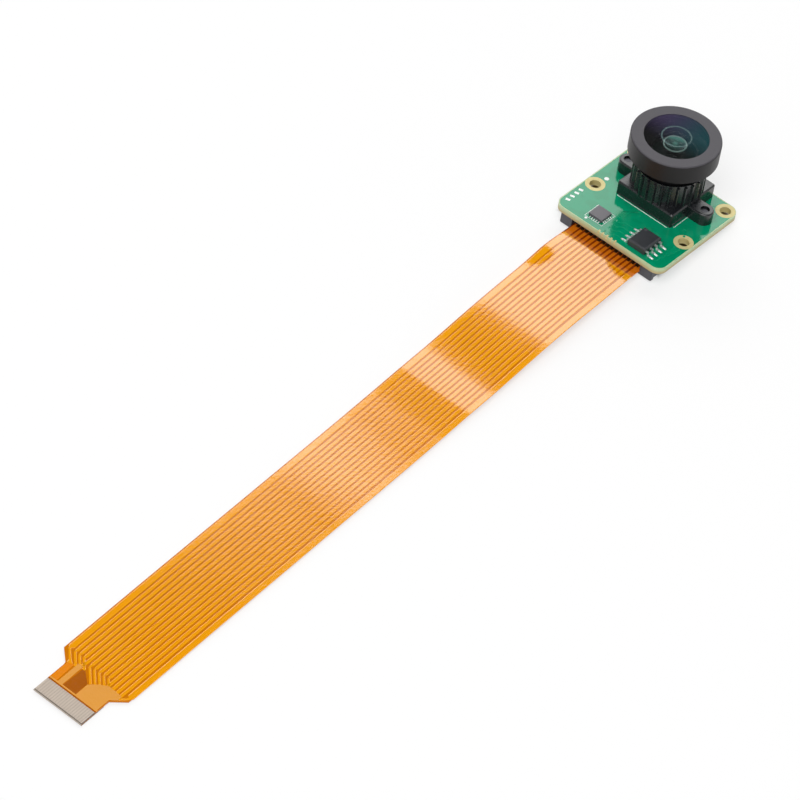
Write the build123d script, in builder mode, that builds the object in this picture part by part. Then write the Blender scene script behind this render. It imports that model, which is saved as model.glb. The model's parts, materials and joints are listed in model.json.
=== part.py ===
# Camera module: a small circuit board that carries a screw-in wide-angle lens in a ribbed holder,
# with a flat flexible cable latched into the connector under its front edge.
# Millimetres. +Z is up and Z = 0 is the table. The module leans back on its connector and on the
# heads of the two holder screws, and the cable runs off along -Y. The origin is on the table,
# under the middle of the module without its cable.
# Board directions used below: across is +X, back runs from the front edge to the rear one, and up
# is square to the board, counted from its underside.

import os
from math import atan2, cos, degrees, sin, tan, radians

from build123d import *

# Circuit board
board_width = 25.0
board_depth = 24.0
board_thickness = 1.3
board_corner_radius = 2.0
mount_hole_diameter = 2.2
mount_hole_edge = 2.0
mount_hole_span_back = 12.5
mount_pad_diameter = 3.8
plating_thickness = 0.05

# Lens holder
lens_rear_margin = 7.0
holder_side = 13.0
holder_corner_radius = 0.5
holder_base_height = 3.0
holder_barrel_radius = 6.45
holder_barrel_height = 7.75
holder_rib_count = 28
holder_rib_height = 0.3
holder_rib_width = 0.8
holder_rib_side_angle = 65.0
holder_edge_chamfer = 0.25
holder_cavity_side = 10.6
filter_ledge_height = 1.6
filter_ledge_thickness = 0.7
filter_window_radius = 3.9
ear_offset = 9.1
ear_radius = 1.7
ear_height = 2.6
ear_edge_round = 0.3

# Holder screws
screw_shank_diameter = 1.7
screw_head_diameter = 3.5
screw_head_height = 1.1
screw_head_round = 0.35
screw_recess_width = 0.45
screw_recess_length = 1.9
screw_recess_depth = 0.55
screw_tip_depth = 0.4
screw_board_clearance = 0.25
screw_thread_clearance = 0.03

# Lens
thread_radius = 5.98
thread_clearance = 0.07
lens_rear_height = 3.3
lens_top_height = 14.4
ring_height = 3.9
ring_radius = 8.5
ring_edge_round = 0.3
ring_lip_thickness = 0.8
ring_wall_thickness = 1.1
ring_fit_clearance = 0.05
lens_opening_radius = 6.1
lens_opening_chamfer = 0.4
lens_bore_radius = 4.9
lens_rear_lip_thickness = 0.5
lens_rear_window_radius = 3.6
glass_seat_clearance = 0.03
glass_gap = 0.15

# Glass elements, counted from the front
front_glass_radius = 6.9
front_glass_crown_depth = 0.2
front_glass_dome_radius = 30.0
front_glass_hollow_radius = 6.0
front_glass_hollow_half_width = 4.6
front_glass_seat_depth = 3.45
seal_width = 0.45
second_glass_edge = 0.9
second_glass_front_radius = 9.0
second_glass_half_width = 3.9
front_spacer_radius = 4.2
aperture_thickness = 0.4
aperture_radius = 1.3
third_glass_edge = 0.8
third_glass_rear_radius = 10.0
rear_spacer_radius = 3.9
rear_glass_dome_radius = 8.0

# Image sensor under the lens
sensor_width = 7.4
sensor_depth = 6.8
sensor_height = 0.7
cover_glass_width = 6.6
cover_glass_depth = 6.0
cover_glass_height = 0.4
filter_side = 8.8
filter_thickness = 0.3

# Eight-lead chip
driver_across = 5.8
driver_back = 3.6
driver_width = 3.9
driver_length = 4.9
driver_height = 1.4
driver_standoff = 0.1
driver_mould_chamfer = 0.25
driver_lead_pitch = 1.27
driver_lead_count = 4
driver_lead_width = 0.42
driver_lead_thickness = 0.2
driver_lead_span = 6.2
driver_lead_foot = 0.65
driver_lead_rise = 0.7

# Square chip without leads
controller_across = -4.5
controller_back = 3.5
controller_side = 3.0
controller_height = 0.6
controller_pad_count = 5
controller_pad_pitch = 0.5
controller_pad_width = 0.25
controller_pad_length = 0.6
controller_pad_overhang = 0.25
controller_pad_thickness = 0.05

# Small parts on the underside
capacitor_length = 1.0
capacitor_width = 0.5
capacitor_height = 0.5
capacitor_end_length = 0.25
capacitor_column_pitch = 2.2
capacitor_row_pitch = 1.6
capacitor_columns = 4
capacitor_rows = 2
capacitor_bank_back = 9.8
oscillator_across = -5.2
oscillator_back = 14.2
oscillator_width = 2.5
oscillator_length = 2.0
oscillator_base_height = 0.4
oscillator_lid_height = 0.25
oscillator_lid_margin = 0.15
regulator_side = 1.6
regulator_height = 0.6
regulator_pitch = 3.0
regulator_count = 3
regulator_across = 3.2
regulator_back = 14.2

# Cable connector under the front edge
connector_height = 2.5
connector_half_width = 10.0
connector_front = 1.1
connector_rear = 5.3
connector_deep_rear = 3.9
connector_tail_height = 1.7
connector_floor = 0.3
connector_slot_rear = 4.5
latch_front = 0.15
latch_bar_depth = 0.85
latch_arm_thickness = 0.7
latch_arm_clearance = 0.1
latch_arm_rear = 4.0
latch_arm_height = 1.4
latch_height = 2.35
latch_lip_drop = 0.12
latch_tongue_thickness = 0.25
latch_clearance = 0.05
latch_corner_round = 0.3
contact_pitch = 1.0
contact_count = 15
contact_width = 0.35
contact_thickness = 0.2
contact_groove_clearance = 0.04
contact_foot = 0.8
contact_tail_run = 0.4
contact_nose_back = 1.9
tab_width = 1.3
tab_thickness = 0.15
tab_foot = 0.9
tab_drop = 1.2
tab_across = 9.1

# Flat cable
film_thickness = 0.2
film_half_width = 8.0
film_drop = 1.6
film_insertion = 4.1
film_first_run = 7.0
neck_half_width = 5.5
shoulder_start = 136.0
shoulder_run = 2.25
shoulder_round = 0.4
cable_reach = 145.0
stiffener_thickness = 0.15
near_stiffener_show = 1.5
far_stiffener_length = 5.5
strip_thickness = 0.04
near_strip_width = 0.7
near_strip_length = 3.6
far_strip_pitch = 0.5
far_strip_count = 22
far_strip_width = 0.3
far_strip_length = 3.7
far_strip_edge = 0.25
bend_share = 0.45

# The cable's route past the connector: forward of the board's edge, and above the table
cable_route = [
    (25.5, 1.75),
    (36.0, 1.20),
    (43.0, 1.12),
    (62.0, 0.66),
    (84.0, 0.36),
    (106.0, 0.28),
    (126.0, 0.26),
]

# Places that follow the board's rear corners, where the rear holes and the lens belong
lens_setback = board_depth - lens_rear_margin
mount_hole_span_across = board_width - 2 * mount_hole_edge
mount_hole_middle = (0, board_depth - mount_hole_edge - mount_hole_span_back / 2)

# Heights of the lens that are counted down from its top
lens_head_height = lens_top_height - ring_height
front_glass_floor_height = lens_top_height - front_glass_seat_depth

# How the module leans: it rests on the rear of the connector's deep part and on the screw heads
rest_fall = connector_height - screw_head_height
rest_span = lens_setback + screw_head_diameter / 2 - screw_head_round - connector_deep_rear
lean = atan2(rest_fall, rest_span)
front_edge_height = connector_deep_rear * sin(lean) + connector_height * cos(lean)

# The module's own reach along Y, which centres it over the origin
rearmost = (
    (lens_setback + ring_radius - ring_edge_round) * cos(lean)
    + (board_thickness + lens_top_height - ring_edge_round) * sin(lean)
    + ring_edge_round
)
foremost = latch_front * cos(lean) - latch_height * sin(lean)
front_edge_y = -(rearmost + foremost) / 2

across = Vector(1, 0, 0)
up = Vector(0, sin(lean), cos(lean))
board = Plane(origin=(0, front_edge_y, front_edge_height), x_dir=across, z_dir=up)
back = board.y_dir
board_top = board_thickness


def level(height):
    """The plane parallel to the board, at a height above its underside."""
    return board.offset(height)


def side_section():
    """The upright plane down the board's middle: back to the right, up is up."""
    return Plane(origin=board.origin, x_dir=back, z_dir=across)


def cross_section(setback, height=0.0):
    """The plane across the board at a distance back from its front edge."""
    return Plane(origin=board.from_local_coords(Vector(0, setback, height)), x_dir=across, z_dir=-back)


def dome_drop(radius, half_width):
    """How far a dome falls from its crown to a ring of half_width."""
    return radius - (radius**2 - half_width**2) ** 0.5


lens_section = cross_section(lens_setback, board_top)
lens_axis = Axis(lens_section.origin, up)
mount_hole_radius = mount_hole_diameter / 2
mount_holes = (mount_hole_span_across, mount_hole_span_back, 2, 2)
ear_places = [(-ear_offset, lens_setback), (ear_offset, lens_setback)]
screw_hole_radius = screw_shank_diameter / 2 + screw_board_clearance

# Circuit board with its four drilled mounting holes and the two holes for the holder screws
with BuildPart() as circuit_board:
    with BuildSketch(level(0)):
        with Locations((0, board_depth / 2)):
            RectangleRounded(board_width, board_depth, board_corner_radius)
        with Locations(mount_hole_middle):
            with GridLocations(*mount_holes):
                Circle(mount_hole_radius, mode=Mode.SUBTRACT)
        with Locations(*ear_places):
            Circle(screw_hole_radius, mode=Mode.SUBTRACT)
    extrude(amount=board_thickness)
    for pad_floor in (0, board_thickness - plating_thickness):
        with BuildSketch(level(pad_floor)):
            with Locations(mount_hole_middle):
                with GridLocations(*mount_holes):
                    Circle(mount_pad_diameter / 2)
        extrude(amount=plating_thickness, mode=Mode.SUBTRACT)

# Plated rings, flush with both faces of the board, round each mounting hole
with BuildPart() as hole_plating:
    for pad_floor in (0, board_thickness - plating_thickness):
        with BuildSketch(level(pad_floor)):
            with Locations(mount_hole_middle):
                with GridLocations(*mount_holes):
                    Circle(mount_pad_diameter / 2)
                    Circle(mount_hole_radius, mode=Mode.SUBTRACT)
        extrude(amount=plating_thickness)

# Lens holder: a square foot with two screw ears, and a ribbed barrel that takes the lens thread
holder_bore_radius = thread_radius + thread_clearance
ledge_top = filter_ledge_height + filter_ledge_thickness
with BuildPart() as lens_holder:
    with BuildSketch(level(board_top)):
        with Locations((0, lens_setback)):
            SlotCenterToCenter(2 * ear_offset, 2 * ear_radius)
    extrude(amount=ear_height)
    ear_rim = lens_holder.faces().sort_by(Axis(board.origin, up))[-1].edges()
    fillet(ear_rim, radius=ear_edge_round)
    with BuildSketch(level(board_top)):
        with Locations((0, lens_setback)):
            RectangleRounded(holder_side, holder_side, holder_corner_radius)
    extrude(amount=holder_base_height)
    foot_rim = lens_holder.faces().sort_by(Axis(board.origin, up))[-1].edges()
    chamfer(foot_rim, length=holder_edge_chamfer)
    with BuildSketch(level(board_top + ledge_top)):
        with Locations((0, lens_setback)):
            Circle(holder_barrel_radius)
    extrude(amount=holder_barrel_height - ledge_top)
    with BuildSketch(level(board_top + holder_base_height - holder_edge_chamfer)):
        with Locations((0, lens_setback)):
            with PolarLocations(holder_barrel_radius + holder_rib_height / 2, holder_rib_count):
                with Locations(Rotation(0, 0, -90)):
                    Trapezoid(holder_rib_width, 2 * holder_rib_height, holder_rib_side_angle)
    extrude(amount=holder_barrel_height - holder_base_height)
    with BuildSketch(lens_section):
        with Locations((0, filter_ledge_height)):
            Rectangle(filter_window_radius, filter_ledge_thickness, align=(Align.MIN, Align.MIN))
        with Locations((0, ledge_top)):
            Rectangle(
                holder_bore_radius, holder_barrel_height - ledge_top, align=(Align.MIN, Align.MIN)
            )
    revolve(axis=lens_axis, mode=Mode.SUBTRACT)
    with BuildSketch(level(board_top)):
        with Locations((0, lens_setback)):
            Rectangle(holder_cavity_side, holder_cavity_side)
        with Locations(*ear_places):
            Circle(screw_shank_diameter / 2 + screw_thread_clearance)
    extrude(amount=filter_ledge_height, mode=Mode.SUBTRACT)
    with BuildSketch(level(board_top)):
        with Locations(*ear_places):
            Circle(screw_shank_diameter / 2 + screw_thread_clearance)
    extrude(amount=ear_height, mode=Mode.SUBTRACT)

# Holder screws: pan heads under the board, shanks up through it into the ears
with BuildPart() as holder_screws:
    with BuildSketch(level(0)):
        with Locations(*ear_places):
            Circle(screw_head_diameter / 2)
    extrude(amount=-screw_head_height)
    head_faces = holder_screws.faces().sort_by(Axis(board.origin, up))[:2]
    fillet(head_faces.edges(), radius=screw_head_round)
    with BuildSketch(level(0)):
        with Locations(*ear_places):
            Circle(screw_shank_diameter / 2)
    extrude(amount=board_thickness + ear_height - screw_tip_depth)
    with BuildSketch(level(-screw_head_height)):
        with Locations(*ear_places):
            Rectangle(screw_recess_length, screw_recess_width)
            Rectangle(screw_recess_width, screw_recess_length)
    extrude(amount=screw_recess_depth, taper=8, mode=Mode.SUBTRACT)

# Lens barrel: threaded neck, wide head, and a stepped bore that stacks the glass from the front
head_radius = ring_radius - ring_wall_thickness
head_bore_radius = front_glass_radius + glass_seat_clearance
head_top_height = lens_top_height - ring_lip_thickness
bore_floor = lens_rear_height + lens_rear_lip_thickness
with BuildPart() as lens_barrel:
    with BuildSketch(lens_section):
        with BuildLine():
            Polyline(
                (lens_rear_window_radius, lens_rear_height),
                (thread_radius, lens_rear_height),
                (thread_radius, lens_head_height),
                (head_radius, lens_head_height),
                (head_radius, head_top_height),
                (head_bore_radius, head_top_height),
                (head_bore_radius, front_glass_floor_height),
                (lens_bore_radius, front_glass_floor_height),
                (lens_bore_radius, bore_floor),
                (lens_rear_window_radius, bore_floor),
                close=True,
            )
        make_face()
    revolve(axis=lens_axis)

# Front ring: a cap screwed over the barrel's head, with a rounded rim round the glass
with BuildPart() as front_ring:
    with BuildSketch(lens_section):
        with BuildLine():
            Polyline(
                (head_radius + ring_fit_clearance, lens_head_height),
                (ring_radius, lens_head_height),
                (ring_radius, lens_top_height),
                (lens_opening_radius, lens_top_height),
                (lens_opening_radius, head_top_height),
                (head_radius + ring_fit_clearance, head_top_height),
                close=True,
            )
        face = make_face()
        rim_corner = face.vertices().sort_by(lambda v: v.Y + v.X)[-1]
        fillet(rim_corner, radius=ring_edge_round)
        lip_corner = face.vertices().filter_by(
            lambda v: abs(v.X - lens_opening_radius) < lens_opening_chamfer
        )
        chamfer(lip_corner.sort_by(Axis.Y)[-1], length=lens_opening_chamfer)
    revolve(axis=lens_axis)

# Front glass: a deep meniscus, domed in front and hollow behind, clamped by the ring
crown_height = lens_top_height - front_glass_crown_depth
dome_edge_height = crown_height - dome_drop(front_glass_dome_radius, front_glass_radius)
hollow_crown_height = front_glass_floor_height + dome_drop(
    front_glass_hollow_radius, front_glass_hollow_half_width
)
with BuildPart() as front_glass:
    with BuildSketch(lens_section):
        with BuildLine():
            Line((0, hollow_crown_height), (0, crown_height))
            RadiusArc((0, crown_height), (front_glass_radius, dome_edge_height), front_glass_dome_radius)
            Polyline(
                (front_glass_radius, dome_edge_height),
                (front_glass_radius, front_glass_floor_height),
                (front_glass_hollow_half_width, front_glass_floor_height),
            )
            RadiusArc(
                (front_glass_hollow_half_width, front_glass_floor_height),
                (0, hollow_crown_height),
                -front_glass_hollow_radius,
            )
        make_face()
    revolve(axis=lens_axis)

# Seal: a rubber ring squeezed between the ring's lip and the edge of the front glass
with BuildPart() as front_seal:
    with BuildSketch(lens_section):
        with Locations((front_glass_radius - seal_width, dome_edge_height)):
            Rectangle(seal_width, head_top_height - dome_edge_height, align=(Align.MIN, Align.MIN))
    revolve(axis=lens_axis)
    add(front_glass.part, mode=Mode.SUBTRACT)

# Second glass, front spacer, aperture stop, third glass, rear spacer and rear glass fill the bore
stack_radius = lens_bore_radius - glass_seat_clearance
second_glass_drop = dome_drop(second_glass_front_radius, second_glass_half_width)
front_spacer_length = second_glass_drop + glass_gap
second_glass_top = front_glass_floor_height - front_spacer_length
second_glass_floor = second_glass_top - second_glass_edge
with BuildPart() as front_spacer:
    with BuildSketch(lens_section):
        with Locations((front_spacer_radius, second_glass_top)):
            Rectangle(
                stack_radius - front_spacer_radius, front_spacer_length, align=(Align.MIN, Align.MIN)
            )
    revolve(axis=lens_axis)

second_glass_crown = second_glass_top + second_glass_drop
with BuildPart() as second_glass:
    with BuildSketch(lens_section):
        with BuildLine():
            Polyline(
                (0, second_glass_crown),
                (0, second_glass_floor),
                (stack_radius, second_glass_floor),
                (stack_radius, second_glass_top),
                (second_glass_half_width, second_glass_top),
            )
            RadiusArc(
                (second_glass_half_width, second_glass_top),
                (0, second_glass_crown),
                -second_glass_front_radius,
            )
        make_face()
    revolve(axis=lens_axis)

aperture_floor = second_glass_floor - aperture_thickness
with BuildPart() as aperture_stop:
    with BuildSketch(level(board_top + aperture_floor)):
        with Locations((0, lens_setback)):
            Circle(stack_radius)
            Circle(aperture_radius, mode=Mode.SUBTRACT)
    extrude(amount=aperture_thickness)
    mouth = aperture_stop.edges().filter_by(GeomType.CIRCLE).group_by(SortBy.RADIUS)[0]
    chamfer(mouth.sort_by(Axis(board.origin, up))[-1], length=aperture_thickness / 2)

third_glass_floor = aperture_floor - third_glass_edge
third_glass_drop = dome_drop(third_glass_rear_radius, rear_spacer_radius)
with BuildPart() as third_glass:
    with BuildSketch(lens_section):
        with BuildLine():
            Polyline(
                (rear_spacer_radius, third_glass_floor),
                (stack_radius, third_glass_floor),
                (stack_radius, aperture_floor),
                (0, aperture_floor),
                (0, third_glass_floor - third_glass_drop),
            )
            RadiusArc(
                (0, third_glass_floor - third_glass_drop),
                (rear_spacer_radius, third_glass_floor),
                -third_glass_rear_radius,
            )
        make_face()
    revolve(axis=lens_axis)

rear_spacer_length = third_glass_drop + glass_gap
rear_glass_top = third_glass_floor - rear_spacer_length
with BuildPart() as rear_spacer:
    with BuildSketch(level(board_top + rear_glass_top)):
        with Locations((0, lens_setback)):
            Circle(stack_radius)
            Circle(rear_spacer_radius, mode=Mode.SUBTRACT)
    extrude(amount=rear_spacer_length)

rear_glass_drop = dome_drop(rear_glass_dome_radius, lens_rear_window_radius - glass_seat_clearance)
with BuildPart() as rear_glass:
    with BuildSketch(lens_section):
        with BuildLine():
            Polyline(
                (lens_rear_window_radius - glass_seat_clearance, bore_floor),
                (stack_radius, bore_floor),
                (stack_radius, rear_glass_top),
                (0, rear_glass_top),
                (0, bore_floor - rear_glass_drop),
            )
            RadiusArc(
                (0, bore_floor - rear_glass_drop),
                (lens_rear_window_radius - glass_seat_clearance, bore_floor),
                -rear_glass_dome_radius,
            )
        make_face()
    revolve(axis=lens_axis)

# Infra-red filter glued under the holder's ledge
with BuildPart() as ir_filter:
    with BuildSketch(level(board_top + filter_ledge_height - filter_thickness)):
        with Locations((0, lens_setback)):
            Rectangle(filter_side, filter_side)
    extrude(amount=filter_thickness)

# Image sensor and its cover glass in the holder's cavity
with BuildPart() as image_sensor:
    with BuildSketch(level(board_top)):
        with Locations((0, lens_setback)):
            Rectangle(sensor_width, sensor_depth)
    extrude(amount=sensor_height)

with BuildPart() as sensor_cover_glass:
    with BuildSketch(level(board_top + sensor_height)):
        with Locations((0, lens_setback)):
            Rectangle(cover_glass_width, cover_glass_depth)
    extrude(amount=cover_glass_height)

# Eight-lead chip: a moulded body with tapered sides, and four bent leads along each side
with BuildPart() as driver_chip:
    with BuildSketch(level(board_top + driver_standoff)):
        with Locations((driver_across, driver_back)):
            Rectangle(driver_width, driver_length)
    extrude(amount=driver_height)
    top_edges = driver_chip.faces().sort_by(Axis(board.origin, up))[-1].edges()
    chamfer(top_edges, length=driver_mould_chamfer)

with BuildPart() as driver_chip_leads:
    for row in range(driver_lead_count):
        lead_back = driver_back + (row - (driver_lead_count - 1) / 2) * driver_lead_pitch
        for side in (-1, 1):
            knee = driver_across + side * (driver_lead_span / 2 - driver_lead_foot)
            with BuildSketch(cross_section(lead_back, board_top)):
                with BuildLine():
                    lead_line = Polyline(
                        (driver_across + side * driver_width / 2, driver_lead_rise),
                        (knee, driver_lead_rise),
                        (knee, driver_lead_thickness / 2),
                        (driver_across + side * driver_lead_span / 2, driver_lead_thickness / 2),
                    )
                trace(lead_line, line_width=driver_lead_thickness)
            extrude(amount=driver_lead_width / 2, both=True)

# Square chip without leads, standing on a row of solder pads along each side
with BuildPart() as controller_chip:
    with BuildSketch(level(board_top + controller_pad_thickness)):
        with Locations((controller_across, controller_back)):
            Rectangle(controller_side, controller_side)
    extrude(amount=controller_height)

with BuildPart() as controller_pads:
    pad_reach = (controller_side - controller_pad_length) / 2 + controller_pad_overhang
    with BuildSketch(level(board_top)):
        with Locations((controller_across, controller_back)):
            with GridLocations(2 * pad_reach, controller_pad_pitch, 2, controller_pad_count):
                Rectangle(controller_pad_length, controller_pad_width)
            with GridLocations(controller_pad_pitch, 2 * pad_reach, controller_pad_count, 2):
                Rectangle(controller_pad_width, controller_pad_length)
    extrude(amount=controller_pad_thickness)

# Capacitors on the underside, each a ceramic block with a metal cap on both ends
capacitor_grid = (capacitor_column_pitch, capacitor_row_pitch, capacitor_columns, capacitor_rows)
capacitor_core_length = capacitor_length - 2 * capacitor_end_length
with BuildPart() as capacitors:
    with BuildSketch(level(0)):
        with Locations((0, capacitor_bank_back)):
            with GridLocations(*capacitor_grid):
                Rectangle(capacitor_core_length, capacitor_width)
    extrude(amount=-capacitor_height)

with BuildPart() as capacitor_ends:
    with BuildSketch(level(0)):
        with Locations((0, capacitor_bank_back)):
            with GridLocations(*capacitor_grid):
                with GridLocations(capacitor_core_length + capacitor_end_length, 0, 2, 1):
                    Rectangle(capacitor_end_length, capacitor_width)
    extrude(amount=-capacitor_height)

# Clock oscillator: a ceramic tray closed by a metal lid
with BuildPart() as oscillator:
    with BuildSketch(level(0)):
        with Locations((oscillator_across, oscillator_back)):
            Rectangle(oscillator_width, oscillator_length)
    extrude(amount=-oscillator_base_height)

with BuildPart() as oscillator_lid:
    with BuildSketch(level(-oscillator_base_height)):
        with Locations((oscillator_across, oscillator_back)):
            Rectangle(
                oscillator_width - 2 * oscillator_lid_margin,
                oscillator_length - 2 * oscillator_lid_margin,
            )
    extrude(amount=-oscillator_lid_height)

# Voltage regulators: three small moulded blocks in a row
with BuildPart() as regulators:
    with BuildSketch(level(0)):
        with Locations((regulator_across, regulator_back)):
            with GridLocations(regulator_pitch, 0, regulator_count, 1):
                Rectangle(regulator_side, regulator_side)
    extrude(amount=-regulator_height)

# Heights inside the connector, counted down from the board's underside
film_top = -film_drop + film_thickness / 2
film_bottom = -film_drop - film_thickness / 2
stiffener_bottom = film_bottom - stiffener_thickness
tongue_top = stiffener_bottom - latch_clearance
slot_floor = -connector_height + connector_floor
strip_top = film_top + strip_thickness
slot_ceiling = film_top + 2 * latch_clearance
groove_ceiling = slot_ceiling + contact_thickness
film_slot_half_width = film_half_width + 2 * latch_clearance
contact_places = [(i - (contact_count - 1) / 2) * contact_pitch for i in range(contact_count)]

# Connector housing: a shallow block with a slot for the cable and a groove for each contact
with BuildPart() as connector_housing:
    with BuildSketch(side_section()):
        with BuildLine():
            Polyline(
                (connector_front, 0),
                (connector_front, -connector_height),
                (connector_deep_rear, -connector_height),
                (connector_rear, -connector_tail_height),
                (connector_rear, 0),
                close=True,
            )
        make_face()
    extrude(amount=connector_half_width, both=True)
    with BuildSketch(side_section()):
        with Locations((connector_front, slot_floor)):
            Rectangle(
                connector_slot_rear - connector_front,
                slot_ceiling - slot_floor,
                align=(Align.MIN, Align.MIN),
            )
    extrude(amount=film_slot_half_width + latch_clearance, both=True, mode=Mode.SUBTRACT)
    with BuildSketch(side_section()):
        with Locations((connector_front, slot_ceiling)):
            Rectangle(
                connector_rear - connector_front,
                contact_thickness + contact_groove_clearance,
                align=(Align.MIN, Align.MIN),
            )
    groove_half_width = contact_width / 2 + contact_groove_clearance
    for place in contact_places:
        groove = Plane(origin=side_section().origin + across * place, x_dir=back, z_dir=across)
        with BuildSketch(groove):
            with Locations((connector_front, slot_ceiling)):
                Rectangle(
                    connector_rear - connector_front,
                    contact_thickness + contact_groove_clearance,
                    align=(Align.MIN, Align.MIN),
                )
        extrude(amount=groove_half_width, both=True, mode=Mode.SUBTRACT)

# Contacts: a spring beam over the cable with a nose at its tip, and a foot soldered to the board
with BuildPart() as connector_contacts:
    for place in contact_places:
        beam = Plane(origin=side_section().origin + across * place, x_dir=back, z_dir=across)
        with BuildSketch(beam):
            with BuildLine():
                Polyline(
                    (contact_nose_back, slot_ceiling),
                    (contact_nose_back + contact_thickness, strip_top),
                    (contact_nose_back + 2 * contact_thickness, slot_ceiling),
                    (connector_rear + contact_tail_run, slot_ceiling),
                    (connector_rear + contact_tail_run, -contact_thickness),
                    (connector_rear + contact_tail_run + contact_foot, -contact_thickness),
                    (connector_rear + contact_tail_run + contact_foot, 0),
                    (connector_rear + contact_tail_run - contact_thickness, 0),
                    (connector_rear + contact_tail_run - contact_thickness, groove_ceiling),
                    (contact_nose_back, groove_ceiling),
                    close=True,
                )
            make_face()
        extrude(amount=contact_width / 2, both=True)

# Solder tabs: two bent plates that hold the housing's rear corners to the board
with BuildPart() as connector_tabs:
    with BuildSketch(side_section()):
        with BuildLine():
            Polyline(
                (connector_rear, 0),
                (connector_rear, -tab_drop),
                (connector_rear + tab_thickness, -tab_drop),
                (connector_rear + tab_thickness, -tab_thickness),
                (connector_rear + tab_foot, -tab_thickness),
                (connector_rear + tab_foot, 0),
                close=True,
            )
        make_face()
    extrude(amount=tab_across + tab_width / 2, both=True)
    with BuildSketch(side_section()):
        with Locations((connector_rear, 0)):
            Rectangle(2 * tab_foot, 2 * tab_drop)
    extrude(amount=tab_across - tab_width / 2, both=True, mode=Mode.SUBTRACT)

# Latch: a bar that slides out in front of the housing, cut open above the cable, with a tongue
# under the cable and an arm at each end
arm_inner = connector_half_width + latch_arm_clearance
arm_outer = arm_inner + latch_arm_thickness
with BuildPart() as connector_latch:
    with BuildSketch(side_section()):
        with Locations((latch_front, -latch_lip_drop)):
            Rectangle(
                latch_bar_depth, latch_height - latch_lip_drop, align=(Align.MIN, Align.MAX)
            )
    extrude(amount=arm_outer, both=True)
    bar_ends = connector_latch.edges().filter_by(Axis(board.origin, up)).group_by(Axis(board.origin, back))
    fillet(bar_ends[0], radius=latch_corner_round)
    with BuildSketch(side_section()):
        with Locations((latch_front, tongue_top)):
            Rectangle(latch_bar_depth, -tongue_top, align=(Align.MIN, Align.MIN))
    extrude(amount=film_slot_half_width, both=True, mode=Mode.SUBTRACT)
    with BuildSketch(side_section()):
        with Locations((latch_front + latch_bar_depth, tongue_top)):
            Rectangle(
                connector_slot_rear - latch_front - latch_bar_depth - 2 * latch_clearance,
                latch_tongue_thickness,
                align=(Align.MIN, Align.MAX),
            )
    extrude(amount=film_slot_half_width - latch_clearance, both=True)
    for side in (-1, 1):
        with BuildSketch(level(-latch_lip_drop - (latch_height - latch_lip_drop - latch_arm_height) / 2)):
            with Locations((side * (arm_inner + latch_arm_thickness / 2), latch_front + latch_bar_depth)):
                Rectangle(
                    latch_arm_thickness,
                    latch_arm_rear - latch_front - latch_bar_depth,
                    align=(Align.CENTER, Align.MIN),
                )
        extrude(amount=-latch_arm_height)

# Flat cable. Its middle line leaves the connector along the board, then settles on the table
table_side = Plane(origin=(0, front_edge_y, 0), x_dir=(0, -1, 0), z_dir=(-1, 0, 0))


def on_table_side(setback, height):
    """A point of the board's middle, as distance forward of its front edge and height off the table."""
    point = board.from_local_coords(Vector(0, setback, height))
    return (front_edge_y - point.Y, point.Z)


def bend_radii(points):
    """The largest arc that each corner of a route allows, from the shorter of its two runs."""
    radii = []
    for before, corner, after in zip(points, points[1:], points[2:]):
        run_in = Vector(*corner) - Vector(*before)
        run_out = Vector(*after) - Vector(*corner)
        turn = radians(run_in.get_angle(run_out))
        radii.append(bend_share * min(run_in.length, run_out.length) / tan(turn / 2))
    return radii


film_floor = stiffener_thickness + film_thickness / 2
route_points = [
    on_table_side(film_insertion, -film_drop),
    on_table_side(-film_first_run, -film_drop),
    *cable_route,
    (cable_reach, film_floor),
]
route_radii = bend_radii(route_points)
with BuildPart() as flat_cable:
    with BuildSketch(table_side):
        with BuildLine():
            cable_line = FilletPolyline(*route_points, radius=route_radii)
        trace(cable_line, line_width=film_thickness)
    extrude(amount=film_half_width, both=True)
    with BuildSketch(Plane.XY) as cable_outline:
        with BuildLine():
            Polyline(
                (film_half_width, front_edge_y + board_depth),
                (film_half_width, front_edge_y - shoulder_start),
                (neck_half_width, front_edge_y - shoulder_start - shoulder_run),
                (neck_half_width, front_edge_y - cable_reach - shoulder_run),
                (-neck_half_width, front_edge_y - cable_reach - shoulder_run),
                (-neck_half_width, front_edge_y - shoulder_start - shoulder_run),
                (-film_half_width, front_edge_y - shoulder_start),
                (-film_half_width, front_edge_y + board_depth),
                close=True,
            )
        make_face()
        shoulder_corners = cable_outline.vertices().filter_by(
            lambda corner: 0 <= front_edge_y - shoulder_start - corner.Y <= shoulder_run
        )
        fillet(shoulder_corners, radius=shoulder_round)
    extrude(amount=board_depth, mode=Mode.INTERSECT)

# Near stiffener under the cable's end in the connector, and the contact strips on top of it
with BuildPart() as cable_near_stiffener:
    with BuildSketch(side_section()):
        with Locations((-near_stiffener_show, film_bottom)):
            Rectangle(
                film_insertion + near_stiffener_show, stiffener_thickness, align=(Align.MIN, Align.MAX)
            )
    extrude(amount=film_half_width, both=True)

with BuildPart() as cable_near_contacts:
    with BuildSketch(level(film_top)):
        with Locations((0, film_insertion - near_strip_length / 2)):
            with GridLocations(contact_pitch, 0, contact_count, 1):
                Rectangle(near_strip_width, near_strip_length)
    extrude(amount=strip_thickness)

# Far end of the cable: the stiffener that lies on the table, and the fine contact strips on top
last_run = Vector(*route_points[-1]) - Vector(*route_points[-2])
end_slope = atan2(last_run.Y, last_run.X)
far_end = Plane(
    origin=(0, front_edge_y - cable_reach, film_floor),
    x_dir=across,
    z_dir=(0, sin(end_slope), cos(end_slope)),
)
with BuildPart() as cable_far_stiffener:
    with BuildSketch(far_end.offset(-film_thickness / 2)):
        Rectangle(2 * neck_half_width, far_stiffener_length, align=(Align.CENTER, Align.MIN))
    extrude(amount=-stiffener_thickness)

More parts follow.
